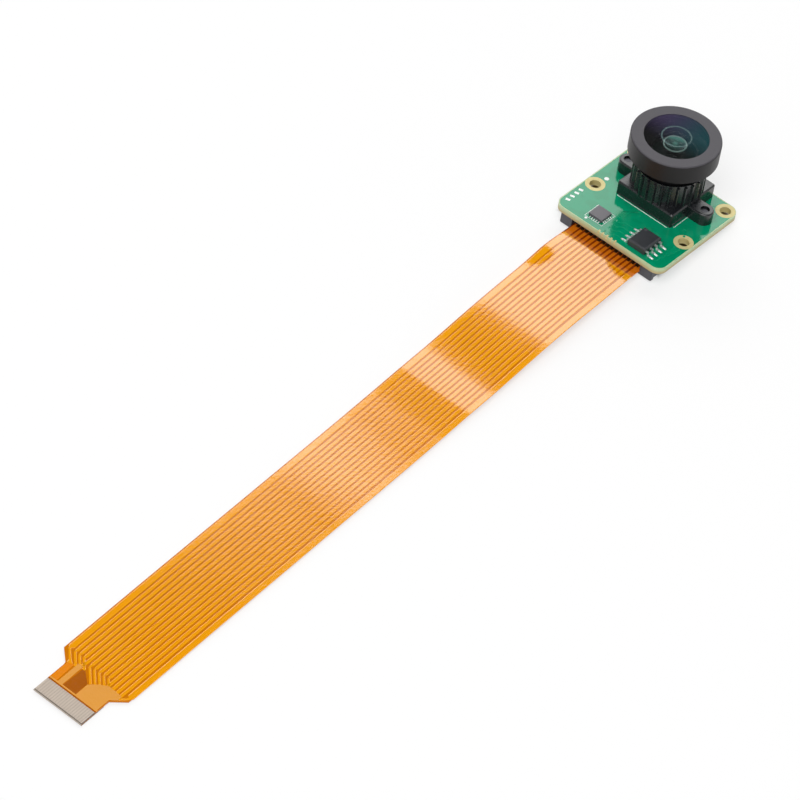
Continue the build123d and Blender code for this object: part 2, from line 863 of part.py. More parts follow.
with BuildPart() as cable_far_contacts:
    with BuildSketch(far_end.offset(film_thickness / 2)):
        with Locations((0, far_strip_edge + far_strip_length / 2)):
            with GridLocations(far_strip_pitch, 0, far_strip_count, 1):
                Rectangle(far_strip_width, far_strip_length)
    extrude(amount=strip_thickness)

os.makedirs("parts", exist_ok=True)
circuit_board.part.label = "circuit_board"
export_step(circuit_board.part, "parts/circuit_board.step")
hole_plating.part.label = "hole_plating"
export_step(hole_plating.part, "parts/hole_plating.step")
lens_holder.part.label = "lens_holder"
export_step(lens_holder.part, "parts/lens_holder.step")
holder_screws.part.label = "holder_screws"
export_step(holder_screws.part, "parts/holder_screws.step")
lens_barrel.part.label = "lens_barrel"
export_step(lens_barrel.part, "parts/lens_barrel.step")
front_ring.part.label = "front_ring"
export_step(front_ring.part, "parts/front_ring.step")
front_glass.part.label = "front_glass"
export_step(front_glass.part, "parts/front_glass.step")
front_seal.part.label = "front_seal"
export_step(front_seal.part, "parts/front_seal.step")
front_spacer.part.label = "front_spacer"
export_step(front_spacer.part, "parts/front_spacer.step")
second_glass.part.label = "second_glass"
export_step(second_glass.part, "parts/second_glass.step")
aperture_stop.part.label = "aperture_stop"
export_step(aperture_stop.part, "parts/aperture_stop.step")
third_glass.part.label = "third_glass"
export_step(third_glass.part, "parts/third_glass.step")
rear_spacer.part.label = "rear_spacer"
export_step(rear_spacer.part, "parts/rear_spacer.step")
rear_glass.part.label = "rear_glass"
export_step(rear_glass.part, "parts/rear_glass.step")
ir_filter.part.label = "ir_filter"
export_step(ir_filter.part, "parts/ir_filter.step")
image_sensor.part.label = "image_sensor"
export_step(image_sensor.part, "parts/image_sensor.step")
sensor_cover_glass.part.label = "sensor_cover_glass"
export_step(sensor_cover_glass.part, "parts/sensor_cover_glass.step")
driver_chip.part.label = "driver_chip"
export_step(driver_chip.part, "parts/driver_chip.step")
driver_chip_leads.part.label = "driver_chip_leads"
export_step(driver_chip_leads.part, "parts/driver_chip_leads.step")
controller_chip.part.label = "controller_chip"
export_step(controller_chip.part, "parts/controller_chip.step")
controller_pads.part.label = "controller_pads"
export_step(controller_pads.part, "parts/controller_pads.step")
capacitors.part.label = "capacitors"
export_step(capacitors.part, "parts/capacitors.step")
capacitor_ends.part.label = "capacitor_ends"
export_step(capacitor_ends.part, "parts/capacitor_ends.step")
oscillator.part.label = "oscillator"
export_step(oscillator.part, "parts/oscillator.step")
oscillator_lid.part.label = "oscillator_lid"
export_step(oscillator_lid.part, "parts/oscillator_lid.step")
regulators.part.label = "regulators"
export_step(regulators.part, "parts/regulators.step")
connector_housing.part.label = "connector_housing"
export_step(connector_housing.part, "parts/connector_housing.step")
connector_contacts.part.label = "connector_contacts"
export_step(connector_contacts.part, "parts/connector_contacts.step")
connector_tabs.part.label = "connector_tabs"
export_step(connector_tabs.part, "parts/connector_tabs.step")
connector_latch.part.label = "connector_latch"
export_step(connector_latch.part, "parts/connector_latch.step")
flat_cable.part.label = "flat_cable"
export_step(flat_cable.part, "parts/flat_cable.step")
cable_near_stiffener.part.label = "cable_near_stiffener"
export_step(cable_near_stiffener.part, "parts/cable_near_stiffener.step")
cable_near_contacts.part.label = "cable_near_contacts"
export_step(cable_near_contacts.part, "parts/cable_near_contacts.step")
cable_far_stiffener.part.label = "cable_far_stiffener"
export_step(cable_far_stiffener.part, "parts/cable_far_stiffener.step")
cable_far_contacts.part.label = "cable_far_contacts"
export_step(cable_far_contacts.part, "parts/cable_far_contacts.step")

print("lean", round(degrees(lean), 2), "degrees; board's front edge at y", round(front_edge_y, 3))
print("cable length", round(cable_line.length, 2), "mm; bend radii", [round(r) for r in route_radii])
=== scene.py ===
"""Looks of a small camera module.

A green circuit board carries a wide-angle lens in a ribbed black holder, and an amber flat cable
is latched into the connector under its front edge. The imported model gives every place; this
script adds the finishes, the cable at its real length, the printed and soldered detail, a plain
studio and the camera.
"""

import json
import logging
from dataclasses import dataclass, field
from enum import Enum
from functools import reduce
from math import cos, exp, hypot, pi, radians, sin
from typing import ClassVar

import bmesh
import bpy
from mathutils import Matrix, Vector


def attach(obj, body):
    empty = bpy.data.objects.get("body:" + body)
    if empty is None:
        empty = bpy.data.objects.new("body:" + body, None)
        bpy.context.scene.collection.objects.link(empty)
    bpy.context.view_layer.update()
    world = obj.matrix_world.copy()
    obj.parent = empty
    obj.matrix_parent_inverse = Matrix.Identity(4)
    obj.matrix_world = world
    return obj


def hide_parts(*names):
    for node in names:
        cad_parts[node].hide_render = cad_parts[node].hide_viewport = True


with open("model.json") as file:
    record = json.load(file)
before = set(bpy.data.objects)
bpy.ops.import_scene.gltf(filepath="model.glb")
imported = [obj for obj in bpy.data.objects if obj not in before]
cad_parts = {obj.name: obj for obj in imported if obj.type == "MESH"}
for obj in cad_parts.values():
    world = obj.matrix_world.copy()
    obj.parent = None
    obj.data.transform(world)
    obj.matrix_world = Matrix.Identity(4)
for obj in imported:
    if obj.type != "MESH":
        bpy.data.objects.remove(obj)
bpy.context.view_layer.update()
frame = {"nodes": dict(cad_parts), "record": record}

log = logging.getLogger("camera_module")
MM = 0.001
IMAGE_SIDE = 800

Material = bpy.types.Material
Socket = bpy.types.NodeSocket
Inputs = dict[str | int, Socket | Vector | tuple | float]
Place = tuple[float, float]
Row = tuple[float, ...]


class Body(Enum):
    """The bodies that a piece can ride on."""

    MODULE = "module"
    LENS = "lens"


class Slot(Enum):
    """The record's material slots, listed with the cable's areas."""

    SOLDER_MASK = "solder_mask"
    GOLD = "gold_plate"
    TIN = "tinned_lead"
    FILM = "cable_film"
    STIFFENER = "stiffener_film"
    LENS_GLASS = "lens_glass"


class MixSocket(Enum):
    """Places of the colour sockets of Blender's mix node."""

    FACTOR = 0
    FIRST = 6
    SECOND = 7
    RESULT = 2


def linear(hex_colour: str) -> tuple[float, float, float, float]:
    """Turns an sRGB hex colour into linear RGBA.

    Args:
        hex_colour: A colour such as "#c8a060".

    Returns:
        Red, green, blue and alpha, as the shaders take them.
    """
    channels = [int(hex_colour[i : i + 2], 16) / 255 for i in (1, 3, 5)]
    red, green, blue = (
        c / 12.92 if c <= 0.04045 else ((c + 0.055) / 1.055) ** 2.4 for c in channels
    )
    return red, green, blue, 1.0


def per_mm(size_mm: float) -> float:
    """The scale, for coordinates in metres, of a texture whose features have that size."""
    return 1 / (size_mm * MM)


def share_between(value: float, start: float, end: float) -> float:
    """How far a value has come from one place to another, from 0 to 1."""
    return min(max((value - start) / (end - start), 0.0), 1.0)


def feed(tree: bpy.types.NodeTree, node: bpy.types.Node, inputs: Inputs) -> None:
    """Fills input sockets of a node.

    Args:
        tree: The tree that the node is in.
        node: The node.
        inputs: For sockets by name or place, a value or the output that feeds them.
    """
    for key, value in inputs.items():
        if isinstance(value, Socket):
            tree.links.new(value, node.inputs[key])
        else:
            node.inputs[key].default_value = value


def add_node(
    tree: bpy.types.NodeTree, kind: str, inputs: Inputs | None = None, **settings: str | int
) -> bpy.types.Node:
    """Adds one shader node.

    Args:
        tree: The material's or the world's node tree.
        kind: The node's type name, without "ShaderNode".
        inputs: For input sockets by name or place, a value or the output that feeds them.
        settings: Values for the node's own properties.

    Returns:
        The new node.
    """
    node = tree.nodes.new("ShaderNode" + kind)
    for name, value in settings.items():
        setattr(node, name, value)
    feed(tree, node, inputs or {})
    return node


class Surface:
    """A material in the making, with a method for each step that the finishes share."""

    def __init__(self, name: str) -> None:
        """Opens a material with its shader, its output and its coordinates.

        Args:
            name: The material's name.
        """
        self.material = bpy.data.materials.new(name)
        self.material.use_nodes = True
        self.tree = self.material.node_tree
        self.shader = self.tree.nodes["Principled BSDF"]
        coords = add_node(self.tree, "TexCoord")
        self.place, self.normal = coords.outputs["Object"], coords.outputs["Normal"]

    def maths(self, operation: str, *values: Socket | float) -> Socket:
        """The result of a sum with one to three values."""
        return add_node(self.tree, "Math", dict(enumerate(values)), operation=operation).outputs[0]

    def vector(self, operation: str, *values: Socket | Vector) -> Socket:
        """The result of a vector sum: a vector from a subtraction, otherwise a number."""
        node = add_node(self.tree, "VectorMath", dict(enumerate(values)), operation=operation)
        return node.outputs["Vector" if operation == "SUBTRACT" else "Value"]

    def noise(self, size_mm: float, detail: float = 1.0) -> Socket:
        """A cloudy pattern between 0 and 1, with features of a real size."""
        inputs = {"Vector": self.place, "Scale": per_mm(size_mm), "Detail": detail}
        return add_node(self.tree, "TexNoise", inputs).outputs["Fac"]

    def spread(self, share: Socket, low: float, high: float) -> Socket:
        """A share between 0 and 1, spread evenly between two levels."""
        inputs = {"Value": share, "To Min": low, "To Max": high}
        return add_node(self.tree, "MapRange", inputs).outputs["Result"]

    def rise(self, value: Socket, start: float, end: float) -> Socket:
        """A soft rise from 0 to 1 while a value goes from one place to another."""
        inputs = {"Value": value, "From Min": start, "From Max": end}
        node = add_node(self.tree, "MapRange", inputs, interpolation_type="SMOOTHSTEP")
        return node.outputs["Result"]

    def along(self, origin: Vector, direction: Vector, start_mm: float, end_mm: float) -> Socket:
        """A soft rise from 0 to 1 between two places off the origin, along a direction."""
        offset = self.vector("SUBTRACT", self.place, origin)
        return self.rise(self.vector("DOT_PRODUCT", offset, direction), start_mm * MM, end_mm * MM)

    def blend(self, share: Socket, first: Socket | str, second: Socket | str) -> Socket:
        """A colour between two others.

        Args:
            share: How much of the second colour there is.
            first: An output or a hex colour.
            second: The same.

        Returns:
            The output with the colour.
        """
        inputs: Inputs = {MixSocket.FACTOR.value: share}
        for socket, colour in ((MixSocket.FIRST, first), (MixSocket.SECOND, second)):
            inputs[socket.value] = linear(colour) if isinstance(colour, str) else colour
        mix = add_node(self.tree, "Mix", inputs, data_type="RGBA")
        return mix.outputs[MixSocket.RESULT.value]

    def bump(
        self, height: Socket, strength: float, depth_mm: float, edge_mm: float = 0.0
    ) -> Socket:
        """A normal that shows a fine relief.

        Args:
            height: The relief, between 0 and 1.
            strength: How strongly it shows.
            depth_mm: Its real depth.
            edge_mm: The radius that the edges are rounded by, if any.

        Returns:
            The output with the normal.
        """
        inputs: Inputs = {"Height": height, "Strength": strength, "Distance": depth_mm * MM}
        if edge_mm:
            rounding = add_node(self.tree, "Bevel", {"Radius": edge_mm * MM}, samples=4)
            inputs["Normal"] = rounding.outputs["Normal"]
        return add_node(self.tree, "Bump", inputs).outputs["Normal"]

    def finish(self, inputs: Inputs) -> Material:
        """Fills the shader's own sockets and hands the material over."""
        feed(self.tree, self.shader, inputs)
        return self.material


def dress(material: Material, *names: str) -> None:
    """Gives CAD nodes a finish.

    Args:
        material: The finish.
        names: The nodes' names.
    """
    for name in names:
        mesh = frame["nodes"][name].data
        mesh.materials.clear()
        mesh.materials.append(material)
        log.info("dressed %s in %s", name, material.name)


@dataclass
class Solid:
    """Points and faces that several small closed forms are gathered in."""

    points: list[Vector] = field(default_factory=list)
    faces: list[tuple[int, ...]] = field(default_factory=list)

    def add_rings(self, rings: list[list[Vector]], looped: bool = False) -> None:
        """Joins rings of as many points each into a closed skin.

        Args:
            rings: The rings, from one end to the other.
            looped: Whether the last ring joins the first, as in a tube, and is not capped.
        """
        start, count = len(self.points), len(rings[0])
        for ring in rings:
            self.points.extend(ring)
        size = len(rings) * count
        for row in range(len(rings) - (not looped)):
            for i in range(count):
                a, b = row * count + i, row * count + (i + 1) % count
                corners = (a, b, (b + count) % size, (a + count) % size)
                self.faces.append(tuple(start + corner for corner in corners))
        if not looped:
            last = start + (len(rings) - 1) * count
            self.faces.append(tuple(range(start, start + count)))
            self.faces.append(tuple(range(last, last + count)))

    def make_piece(
        self,
        name: str,
        material: Material,
        body: Body = Body.MODULE,
        sharp_degrees: float = 40.0,
    ) -> bpy.types.Object:
        """Makes one piece of it all, smooths it up to an angle and lets it ride on a body.

        Args:
            name: The piece's name.
            material: Its finish.
            body: The body that carries it.
            sharp_degrees: Edges that turn by more than this stay sharp.

        Returns:
            The new object.
        """
        mesh = bpy.data.meshes.new(name)
        mesh.from_pydata([tuple(point) for point in self.points], [], self.faces)
        builder = bmesh.new()
        builder.from_mesh(mesh)
        bmesh.ops.recalc_face_normals(builder, faces=builder.faces)
        builder.to_mesh(mesh)
        builder.free()
        mesh.shade_smooth()
        mesh.set_sharp_from_angle(angle=radians(sharp_degrees))
        mesh.materials.append(material)
        piece = bpy.data.objects.new(name, mesh)
        bpy.context.scene.collection.objects.link(piece)
        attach(piece, body.value)
        log.info("made %s: %d faces, on %s", name, len(mesh.polygons), body.value)
        return piece


@dataclass(frozen=True)
class BoardSpace:
    """The board's own directions: across, back from its front edge, and up off its top face."""

    origin: Vector
    across: Vector
    back: Vector
    up: Vector

    def at(self, across_mm: float, back_mm: float, height_mm: float = 0.0) -> Vector:
        """A point in metres, from millimetres along the board's own directions."""
        step = self.across * across_mm + self.back * back_mm + self.up * height_mm
        return self.origin + step * MM

    def ring(
        self, across_mm: float, back_mm: float, radius_mm: float, height_mm: float, count: int
    ) -> list[Vector]:
        """A level ring of points in metres, from its middle, radius and height in millimetres."""
        turns = [2 * pi * i / count for i in range(count)]
        return [
            self.at(across_mm + radius_mm * cos(t), back_mm + radius_mm * sin(t), height_mm)
            for t in turns
        ]


def board_space() -> BoardSpace:
    """Reads the board's place and lean from the lens's turning axis in the record.

    Returns:
        The board's directions.
    """
    joints = frame["record"]["behaviour"]["joints"]
    turn = next(joint for joint in joints if joint["name"] == "focus_turn")
    up = Vector(turn["axis"]).normalized()
    across = Vector((1, 0, 0))
    back = up.cross(across)
    origin = Vector(turn["pos_m"]) - back * Board.lens_setback * MM
    return BoardSpace(origin, across, back, up)


@dataclass(frozen=True)
class SolderMask:
    """Epoxy solder mask, curtain-coated over a glass-fibre laminate.

    It gives a deep, glossy green that mirrors what stands on it, and stops a little short of the
    board's edge, where the cream laminate shows with its cut fibres.
    """

    green: str = "#009064"
    green_over_copper: str = "#00966a"
    laminate: str = "#bccfa4"
    laminate_low: str = "#b59a68"
    laminate_speck: float = 0.25
    gloss_roughness: float = 0.09
    laminate_roughness: float = 0.55
    edge_margin_mm: float = 0.2
    flat_least: float = 0.8
    pour_size_mm: float = 3.2
    pour_edge: Place = (0.47, 0.53)
    pour_depth_mm: float = 0.01
    pour_strength: float = 0.1
    fibre_mm: float = 0.18

    def make(self, space: BoardSpace) -> Material:
        """Builds the material.

        Args:
            space: The board's directions, which tell its faces from its edges.

        Returns:
            The finished material.
        """
        surface = Surface("solder_mask_on_laminate")
        facing = surface.vector("DOT_PRODUCT", surface.normal, space.up)
        flat = surface.maths("GREATER_THAN", surface.maths("ABSOLUTE", facing), self.flat_least)
        mask = surface.maths("MULTIPLY", flat, self.inside_outline(surface, space))
        copper = surface.rise(surface.noise(self.pour_size_mm), *self.pour_edge)
        greens = surface.blend(copper, self.green, self.green_over_copper)
        fibres = surface.noise(self.fibre_mm, 3.0)
        height = surface.along(space.origin, space.up, -Board.thickness, 0.0)
        level = surface.maths("MULTIPLY_ADD", fibres, self.laminate_speck, height)
        creams = surface.blend(level, self.laminate_low, self.laminate)
        return surface.finish(
            {
                "Base Color": surface.blend(mask, creams, greens),
                "Roughness": surface.spread(mask, self.laminate_roughness, self.gloss_roughness),
                "Normal": surface.bump(copper, self.pour_strength, self.pour_depth_mm),
            }
        )

    def inside_outline(self, surface: Surface, space: BoardSpace) -> Socket:
        """Tells where the mask lies: in the board's rounded outline, less its margin.

        Args:
            surface: The material in the making.
            space: The board's directions.

        Returns:
            An output that is 1 inside the margin and 0 outside it.
        """
        offset = surface.vector("SUBTRACT", surface.place, space.at(0, Board.depth / 2))
        past = []
        for direction, side in ((space.across, Board.width), (space.back, Board.depth)):
            half = (side / 2 - Board.corner_radius) * MM
            size = surface.maths("ABSOLUTE", surface.vector("DOT_PRODUCT", offset, direction))
            past.append(surface.maths("MAXIMUM", surface.maths("SUBTRACT", size, half), 0.0))
        corner = add_node(surface.tree, "CombineXYZ", {"X": past[0], "Y": past[1]})
        distance = surface.vector("LENGTH", corner.outputs["Vector"])
        limit = (Board.corner_radius - self.edge_margin_mm) * MM
        return surface.maths("LESS_THAN", distance, limit)


@dataclass(frozen=True)
class PaintedMask:
    """The same solder mask where it runs over raised copper tracks, a shade lighter."""

    green: str = "#0a9f70"
    roughness: float = 0.12
    mottle_mm: float = 0.8
    mottle_depth_mm: float = 0.01
    mottle_strength: float = 0.1

    def make(self) -> Material:
        """Builds the material."""
        surface = Surface("solder_mask_over_copper")
        mottle = surface.noise(self.mottle_mm, 2.0)
        relief = surface.bump(mottle, self.mottle_strength, self.mottle_depth_mm)
        return surface.finish(
            {"Base Color": linear(self.green), "Roughness": self.roughness, "Normal": relief}
        )


@dataclass(frozen=True)
class Mottled:
    """A surface whose colour and roughness drift a little, with a fine grain in relief.

    The single finishes below fill it in with what each real material shows.
    """

    name: str
    colour: str
    second_colour: str
    roughness: float
    roughness_drift: float = 0.06
    drift_mm: float = 1.5
    grain_mm: float = 0.12
    grain_depth_mm: float = 0.004
    grain_strength: float = 0.25
    metallic: float = 0.0
    ior: float = 1.5
    coat: float = 0.0
    coat_roughness: float = 0.08
    edge_round_mm: float = 0.0

    def make(self) -> Material:
        """Builds the material, and leaves a metal its default index of refraction."""
        surface = Surface(self.name)
        drift = surface.noise(self.drift_mm, 2.0)
        smooth, dull = (self.roughness + sign * self.roughness_drift for sign in (-1, 1))
        grain = surface.noise(self.grain_mm)
        inputs: Inputs = {
            "Base Color": surface.blend(drift, self.colour, self.second_colour),
            "Roughness": surface.spread(drift, smooth, dull),
            "Normal": surface.bump(
                grain, self.grain_strength, self.grain_depth_mm, self.edge_round_mm
            ),
            "Metallic": self.metallic,
            "Coat Weight": self.coat,
            "Coat Roughness": self.coat_roughness,
        }
        if not self.metallic:
            inputs["IOR"] = self.ior
        return surface.finish(inputs)


@dataclass(frozen=True)
class OpticalGlass:
    """Polished optical glass with a thin anti-reflection coating.

    It is clear, and its mirror image is weak. The glasses are thin, so they don't bend what lies
    behind them.
    """

    name: str
    tint: str = "#06040c"
    opacity: float = 0.08
    ior: float = 1.52
    mirror: float = 0.2
    roughness: float = 0.02

    def make(self) -> Material:
        """Builds the material."""
        return Surface(self.name).finish(
            {
                "Base Color": linear(self.tint),
                "Roughness": self.roughness,
                "IOR": self.ior,
                "Specular IOR Level": self.mirror,
                "Alpha": self.opacity,
            }
        )


@dataclass(frozen=True)
class PaintedCoatingReflection:
    """Vacuum-deposited anti-reflection coating on the front glass.

    It is painted with a reflection: a soft bloom that drifts from violet on its left to teal on its
    right and fades out at its front, and a thin pale ring painted where the coated glasses
    mirror each other.
    """

    # Colours of the painted reflection, and of its painted pale ring
    violet: str = "#6a5c8c"
    teal: str = "#2a737c"
    line: str = "#a4cccc"
    opacity: float = 0.14
    roughness: float = 0.3
    mirror: float = 0.1
    drift_mm: Place = (-5.5, 4.5)
    reflection_fade_mm: Place = (-3.8, 3.5)
    reflection_ring_radius_mm: float = 2.75
    reflection_ring_width_mm: float = 0.24

    def make(self, space: BoardSpace, middle: Vector) -> Material:
        """Builds the material.

        Args:
            space: The board's directions.
            middle: The middle of the opening, in metres.

        Returns:
            The finished material.
        """
        surface = Surface("painted_coating_reflection")
        across = surface.along(middle, space.across, *self.drift_mm)
        back = surface.along(middle, space.back, *self.reflection_fade_mm)
        painted_reflection = surface.blend(back, "#000000", surface.blend(across, self.violet, self.teal))
        distance = surface.vector("DISTANCE", surface.place, middle)
        radius, half = self.reflection_ring_radius_mm * MM, self.reflection_ring_width_mm / 2 * MM
        on_reflection_ring = surface.maths("COMPARE", distance, radius, half)
        return surface.finish(
            {
                "Base Color": surface.blend(on_reflection_ring, painted_reflection, self.line),
                "Roughness": self.roughness,
                "Specular IOR Level": self.mirror,
                "Alpha": self.opacity,
            }
        )


@dataclass(frozen=True)
class PaintedPupilHighlight:
    """The green coated glass deep in the lens.

    A pale highlight is painted in its middle and a pale sheen towards the back left; it is darker
    towards its rim.
    """

    # The pale colour is the painted highlight and sheen
    pale: str = "#5aa592"
    middle_tone: str = "#1c5047"
    deep: str = "#0a2f2c"
    roughness: float = 0.3
    mirror: float = 0.15
    core_mm: float = 0.1
    highlight_mm: float = 0.75
    reach_mm: float = 2.0
    sheen_left: float = 0.5
    sheen_mm: Place = (0.4, 1.8)

    def make(self, space: BoardSpace, middle: Vector) -> Material:
        """Builds the material.

        Args:
            space: The board's directions.
            middle: The middle of the pupil, in metres.

        Returns:
            The finished material.
        """
        surface = Surface("green_inner_glass_painted_highlight")
        distance = surface.vector("DISTANCE", surface.place, middle)
        disc = surface.rise(distance, self.reach_mm * MM, self.highlight_mm * MM)
        painted_highlight = surface.rise(distance, self.highlight_mm * MM, self.core_mm * MM)
        pupil_tone = surface.blend(painted_highlight, surface.blend(disc, self.deep, self.middle_tone), self.pale)
        slant = (space.back - space.across * self.sheen_left).normalized()
        painted_sheen = surface.along(middle, slant, *self.sheen_mm)
        return surface.finish(
            {
                "Base Color": surface.blend(painted_sheen, pupil_tone, self.pale),
                "Roughness": self.roughness,
                "Specular IOR Level": self.mirror,
            }
        )


@dataclass(frozen=True)
class TurnedRing:
    """Black anodised aluminium, turned on a lathe.

    Its wall is nearly black, with fine turning marks, and its front is painted a lighter, even
    grey for the light that falls on it.
    """

    # The front's grey is painted light; the wall's near-black is the ring's own colour
    front: str = "#4c4a4f"
    wall: str = "#1b191a"
    lit_facing: Place = (0.2, 0.85)
    roughness: float = 0.42
    ior: float = 1.32
    grain_mm: float = 0.14
    turning_mm: float = 0.12
    turning_share: float = 0.2
    marks_depth_mm: float = 0.004
    marks_strength: float = 0.3

    def make(self, space: BoardSpace) -> Material:
        """Builds the material.

        Args:
            space: The board's directions, which tell the ring's front from its wall.

        Returns:
            The finished material.
        """
        surface = Surface("turned_black_anodised_aluminium")
        facing = surface.vector("DOT_PRODUCT", surface.normal, space.up)
        waves = space.up * (2 * pi / (self.turning_mm * MM))
        turning = surface.maths("SINE", surface.vector("DOT_PRODUCT", surface.place, waves))
        grain = surface.noise(self.grain_mm)
        marks = surface.maths("MULTIPLY_ADD", turning, self.turning_share, grain)
        lit_front = surface.rise(facing, *self.lit_facing)
        return surface.finish(
            {
                "Base Color": surface.blend(lit_front, self.wall, self.front),
                "Roughness": self.roughness,
                "IOR": self.ior,
                "Normal": surface.bump(marks, self.marks_strength, self.marks_depth_mm),
            }
        )


@dataclass(frozen=True)
class AmberFilm:
    """Cast polyimide film bonded over rolled copper, or over nothing.

    It is a glossy amber that mirrors the lamps. Near the connector, under the board's edge, it is
    painted a deep red-brown as the board's shade.
    """

    name: str
    colour: str
    second_colour: str
    root_shade_colour: str
    roughness: float = 0.075
    ior: float = 1.6
    coat: float = 0.9
    drift_mm: float = 7.0
    root_shade_mm: Place = (2.2, 2.5)
    ripple_mm: float = 0.5
    ripple_depth_mm: float = 0.04
    ripple_strength: float = 0.3

    def make(self, space: BoardSpace) -> Material:
        """Builds the material.

        Args:
            space: The board's directions, from whose front edge the painted root shade is measured.

        Returns:
            The finished material.
        """
        surface = Surface(self.name)
        plain = surface.blend(surface.noise(self.drift_mm, 2.0), self.colour, self.second_colour)
        edge = space.at(0, 0, -Board.thickness)
        # Up to a little past the board's edge the film is painted the deep red-brown of its shade
        free = surface.along(edge, Vector((0, -1, 0)), *self.root_shade_mm)
        ripple = surface.noise(self.ripple_mm)
        return surface.finish(
            {
                "Base Color": surface.blend(free, self.root_shade_colour, plain),
                "Roughness": self.roughness,
                "IOR": self.ior,
                "Coat Weight": self.coat,
                "Coat Roughness": self.roughness,
                "Normal": surface.bump(ripple, self.ripple_strength, self.ripple_depth_mm),
            }
        )


class Finishes:
    """Every finish of the module, made once."""

    def __init__(self, space: BoardSpace) -> None:
        """Makes the finishes.

        Args:
            space: The board's directions.
        """
        self.laminate = SolderMask().make(space)
        self.raised_mask = PaintedMask().make()
        # Gold flash over copper: pale, warm and satin
        self.gold = Mottled(
            "gold_flashed_copper", "#e0d59c", "#cfc186", 0.6, metallic=0.2
        ).make()
        # Tin-lead solder and tinned leads: bright, slightly frosted
        self.tin = Mottled(
            "tinned_copper_and_solder", "#eef4f0", "#d2dad6", 0.36, metallic=0.75
        ).make()
        # Screen-printed epoxy ink: flat white with a faint grain
        self.ink = Mottled("screen_printed_white_ink", "#ffffff", "#f0f4f0", 0.5).make()
        # Glass-filled nylon, moulded: black, with a soft sheen where it faces the lamp
        self.holder = Mottled(
            "moulded_black_nylon", "#17191c", "#1d2023", 0.27,
            grain_mm=0.2, ior=1.65, edge_round_mm=0.08,
        ).make()
        self.anodised = TurnedRing().make(space)
        # Matt black lacquer inside the lens, which swallows stray light
        self.lens_black = Mottled(
            "matt_black_lens_lacquer", "#08080a", "#0c0c0e", 0.6, ior=1.2
        ).make()
        # Silicone rubber: deep matt black
        self.seal = Mottled("moulded_silicone_seal", "#0e0e0f", "#151516", 0.65).make()
        self.front_glass = OpticalGlass("coated_front_glass").make()
        self.inner_glass = OpticalGlass("coated_inner_glass", "#0c3a30", 0.25).make()
        # Blue-green absorbing glass
        self.filter_glass = OpticalGlass("blue_filter_glass", "#2c5a66", 0.4).make()
        # Bare silicon behind glass: violet-grey, half mirror
        self.sensor = Mottled("sensor_silicon", "#3a4a5c", "#584a66", 0.2, coat=0.6).make()
        # Epoxy moulding compound: charcoal with a fine sand grain
        self.chip = Mottled("moulded_epoxy_chip", "#333538", "#3f4145", 0.36, grain_mm=0.1).make()
        # The same compound, ground flat: greyer, with a soft sheen
        self.small_chip = Mottled("ground_epoxy_chip", "#4c484f", "#5a565c", 0.3).make()
        # Blackened steel with worn edges
        self.screw = Mottled("blackened_steel", "#505054", "#3c3c40", 0.34, metallic=1.0).make()
        # Fired barium titanate: tan, dull
        self.ceramic = Mottled("fired_tan_ceramic", "#8a6a4a", "#9c7b58", 0.5).make()
        # Liquid-crystal polymer: dark grey, dull, with flow marks
        self.connector = Mottled(
            "moulded_grey_polymer", "#3c3c42", "#47474e", 0.42, grain_mm=0.25, edge_round_mm=0.06
        ).make()
        # Each film's third colour is the painted shade at its root, under the board's edge
        # Film without copper behind it: deep amber
        self.film = AmberFilm(
            "amber_polyimide_film", "#d27a00", "#c67000", "#8a3603", ior=1.5, coat=0.35
        ).make(space)
        # Film over rolled copper: brighter, the metal throws the light back
        self.track = AmberFilm(
            "polyimide_over_copper", "#f6a400", "#f09b00", "#d8700c"
        ).make(space)
        # A wide copper area under the film: paler and calmer
        self.ground = AmberFilm(
            "polyimide_over_copper_area", "#e8a03c", "#de942c", "#d8700c", 0.16
        ).make(space)
        # Film over its own adhesive and the stiffener: brown amber
        self.bare_film = AmberFilm(
            "polyimide_over_stiffener", "#b05e00", "#a25200", "#8c3a04", 0.12, ior=1.5, coat=0.3
        ).make(space)
        # Film over a thick adhesive: a deep even orange
        self.thick_film = AmberFilm(
            "polyimide_over_adhesive", "#ee8c0c", "#e07e06", "#8c3a04", 0.12, ior=1.5, coat=0.3
        ).make(space)
        # The stiffened end's edge: a dark grey strip of painted shade along its side
        self.end_edge_shade = Mottled("stiffener_edge_painted_shade", "#6e665c", "#5a5248", 0.5).make()
        # Glass-epoxy stiffener strip: grey-brown, satin
        self.stiffener = Mottled("pressed_stiffener_strip", "#7c6c58", "#6a5c4a", 0.4).make()
        # Gold over nickel on the far strips, dulled: beige
        self.contact = Mottled(
            "plated_contact_strip", "#c6b8aa", "#b8aa9c", 0.45, metallic=0.2
        ).make()
        # Adhesive and film between the strips: dull beige
        self.contact_bed = Mottled(
            "dull_beige_adhesive", "#b8aa9c", "#a89a8d", 0.5, drift_mm=0.3
        ).make()
        # Gold over phosphor bronze in the connector, painted a dark brown for the shade it lies in
        self.connector_contact = Mottled(
            "plated_connector_contact", "#5c3410", "#4c2a0c", 0.4, metallic=0.5
        ).make()
        axis = Board.lens_setback
        # The coating's bloom and ring are a painted reflection
        self.coating = PaintedCoatingReflection().make(space, space.at(0, axis, LensUnit.glass_crown))
        # The pupil's pale middle and back left are a painted highlight and sheen
        self.pupil = PaintedPupilHighlight().make(space, space.at(0, axis, LensUnit.pupil_height))
        # Ground glass edge, painted grey; its pale tone is a painted highlight, a thin line of
        # light
        self.element_edge = Mottled("ground_glass_edge", "#a4c4bb", "#8cb0a6", 0.3).make()


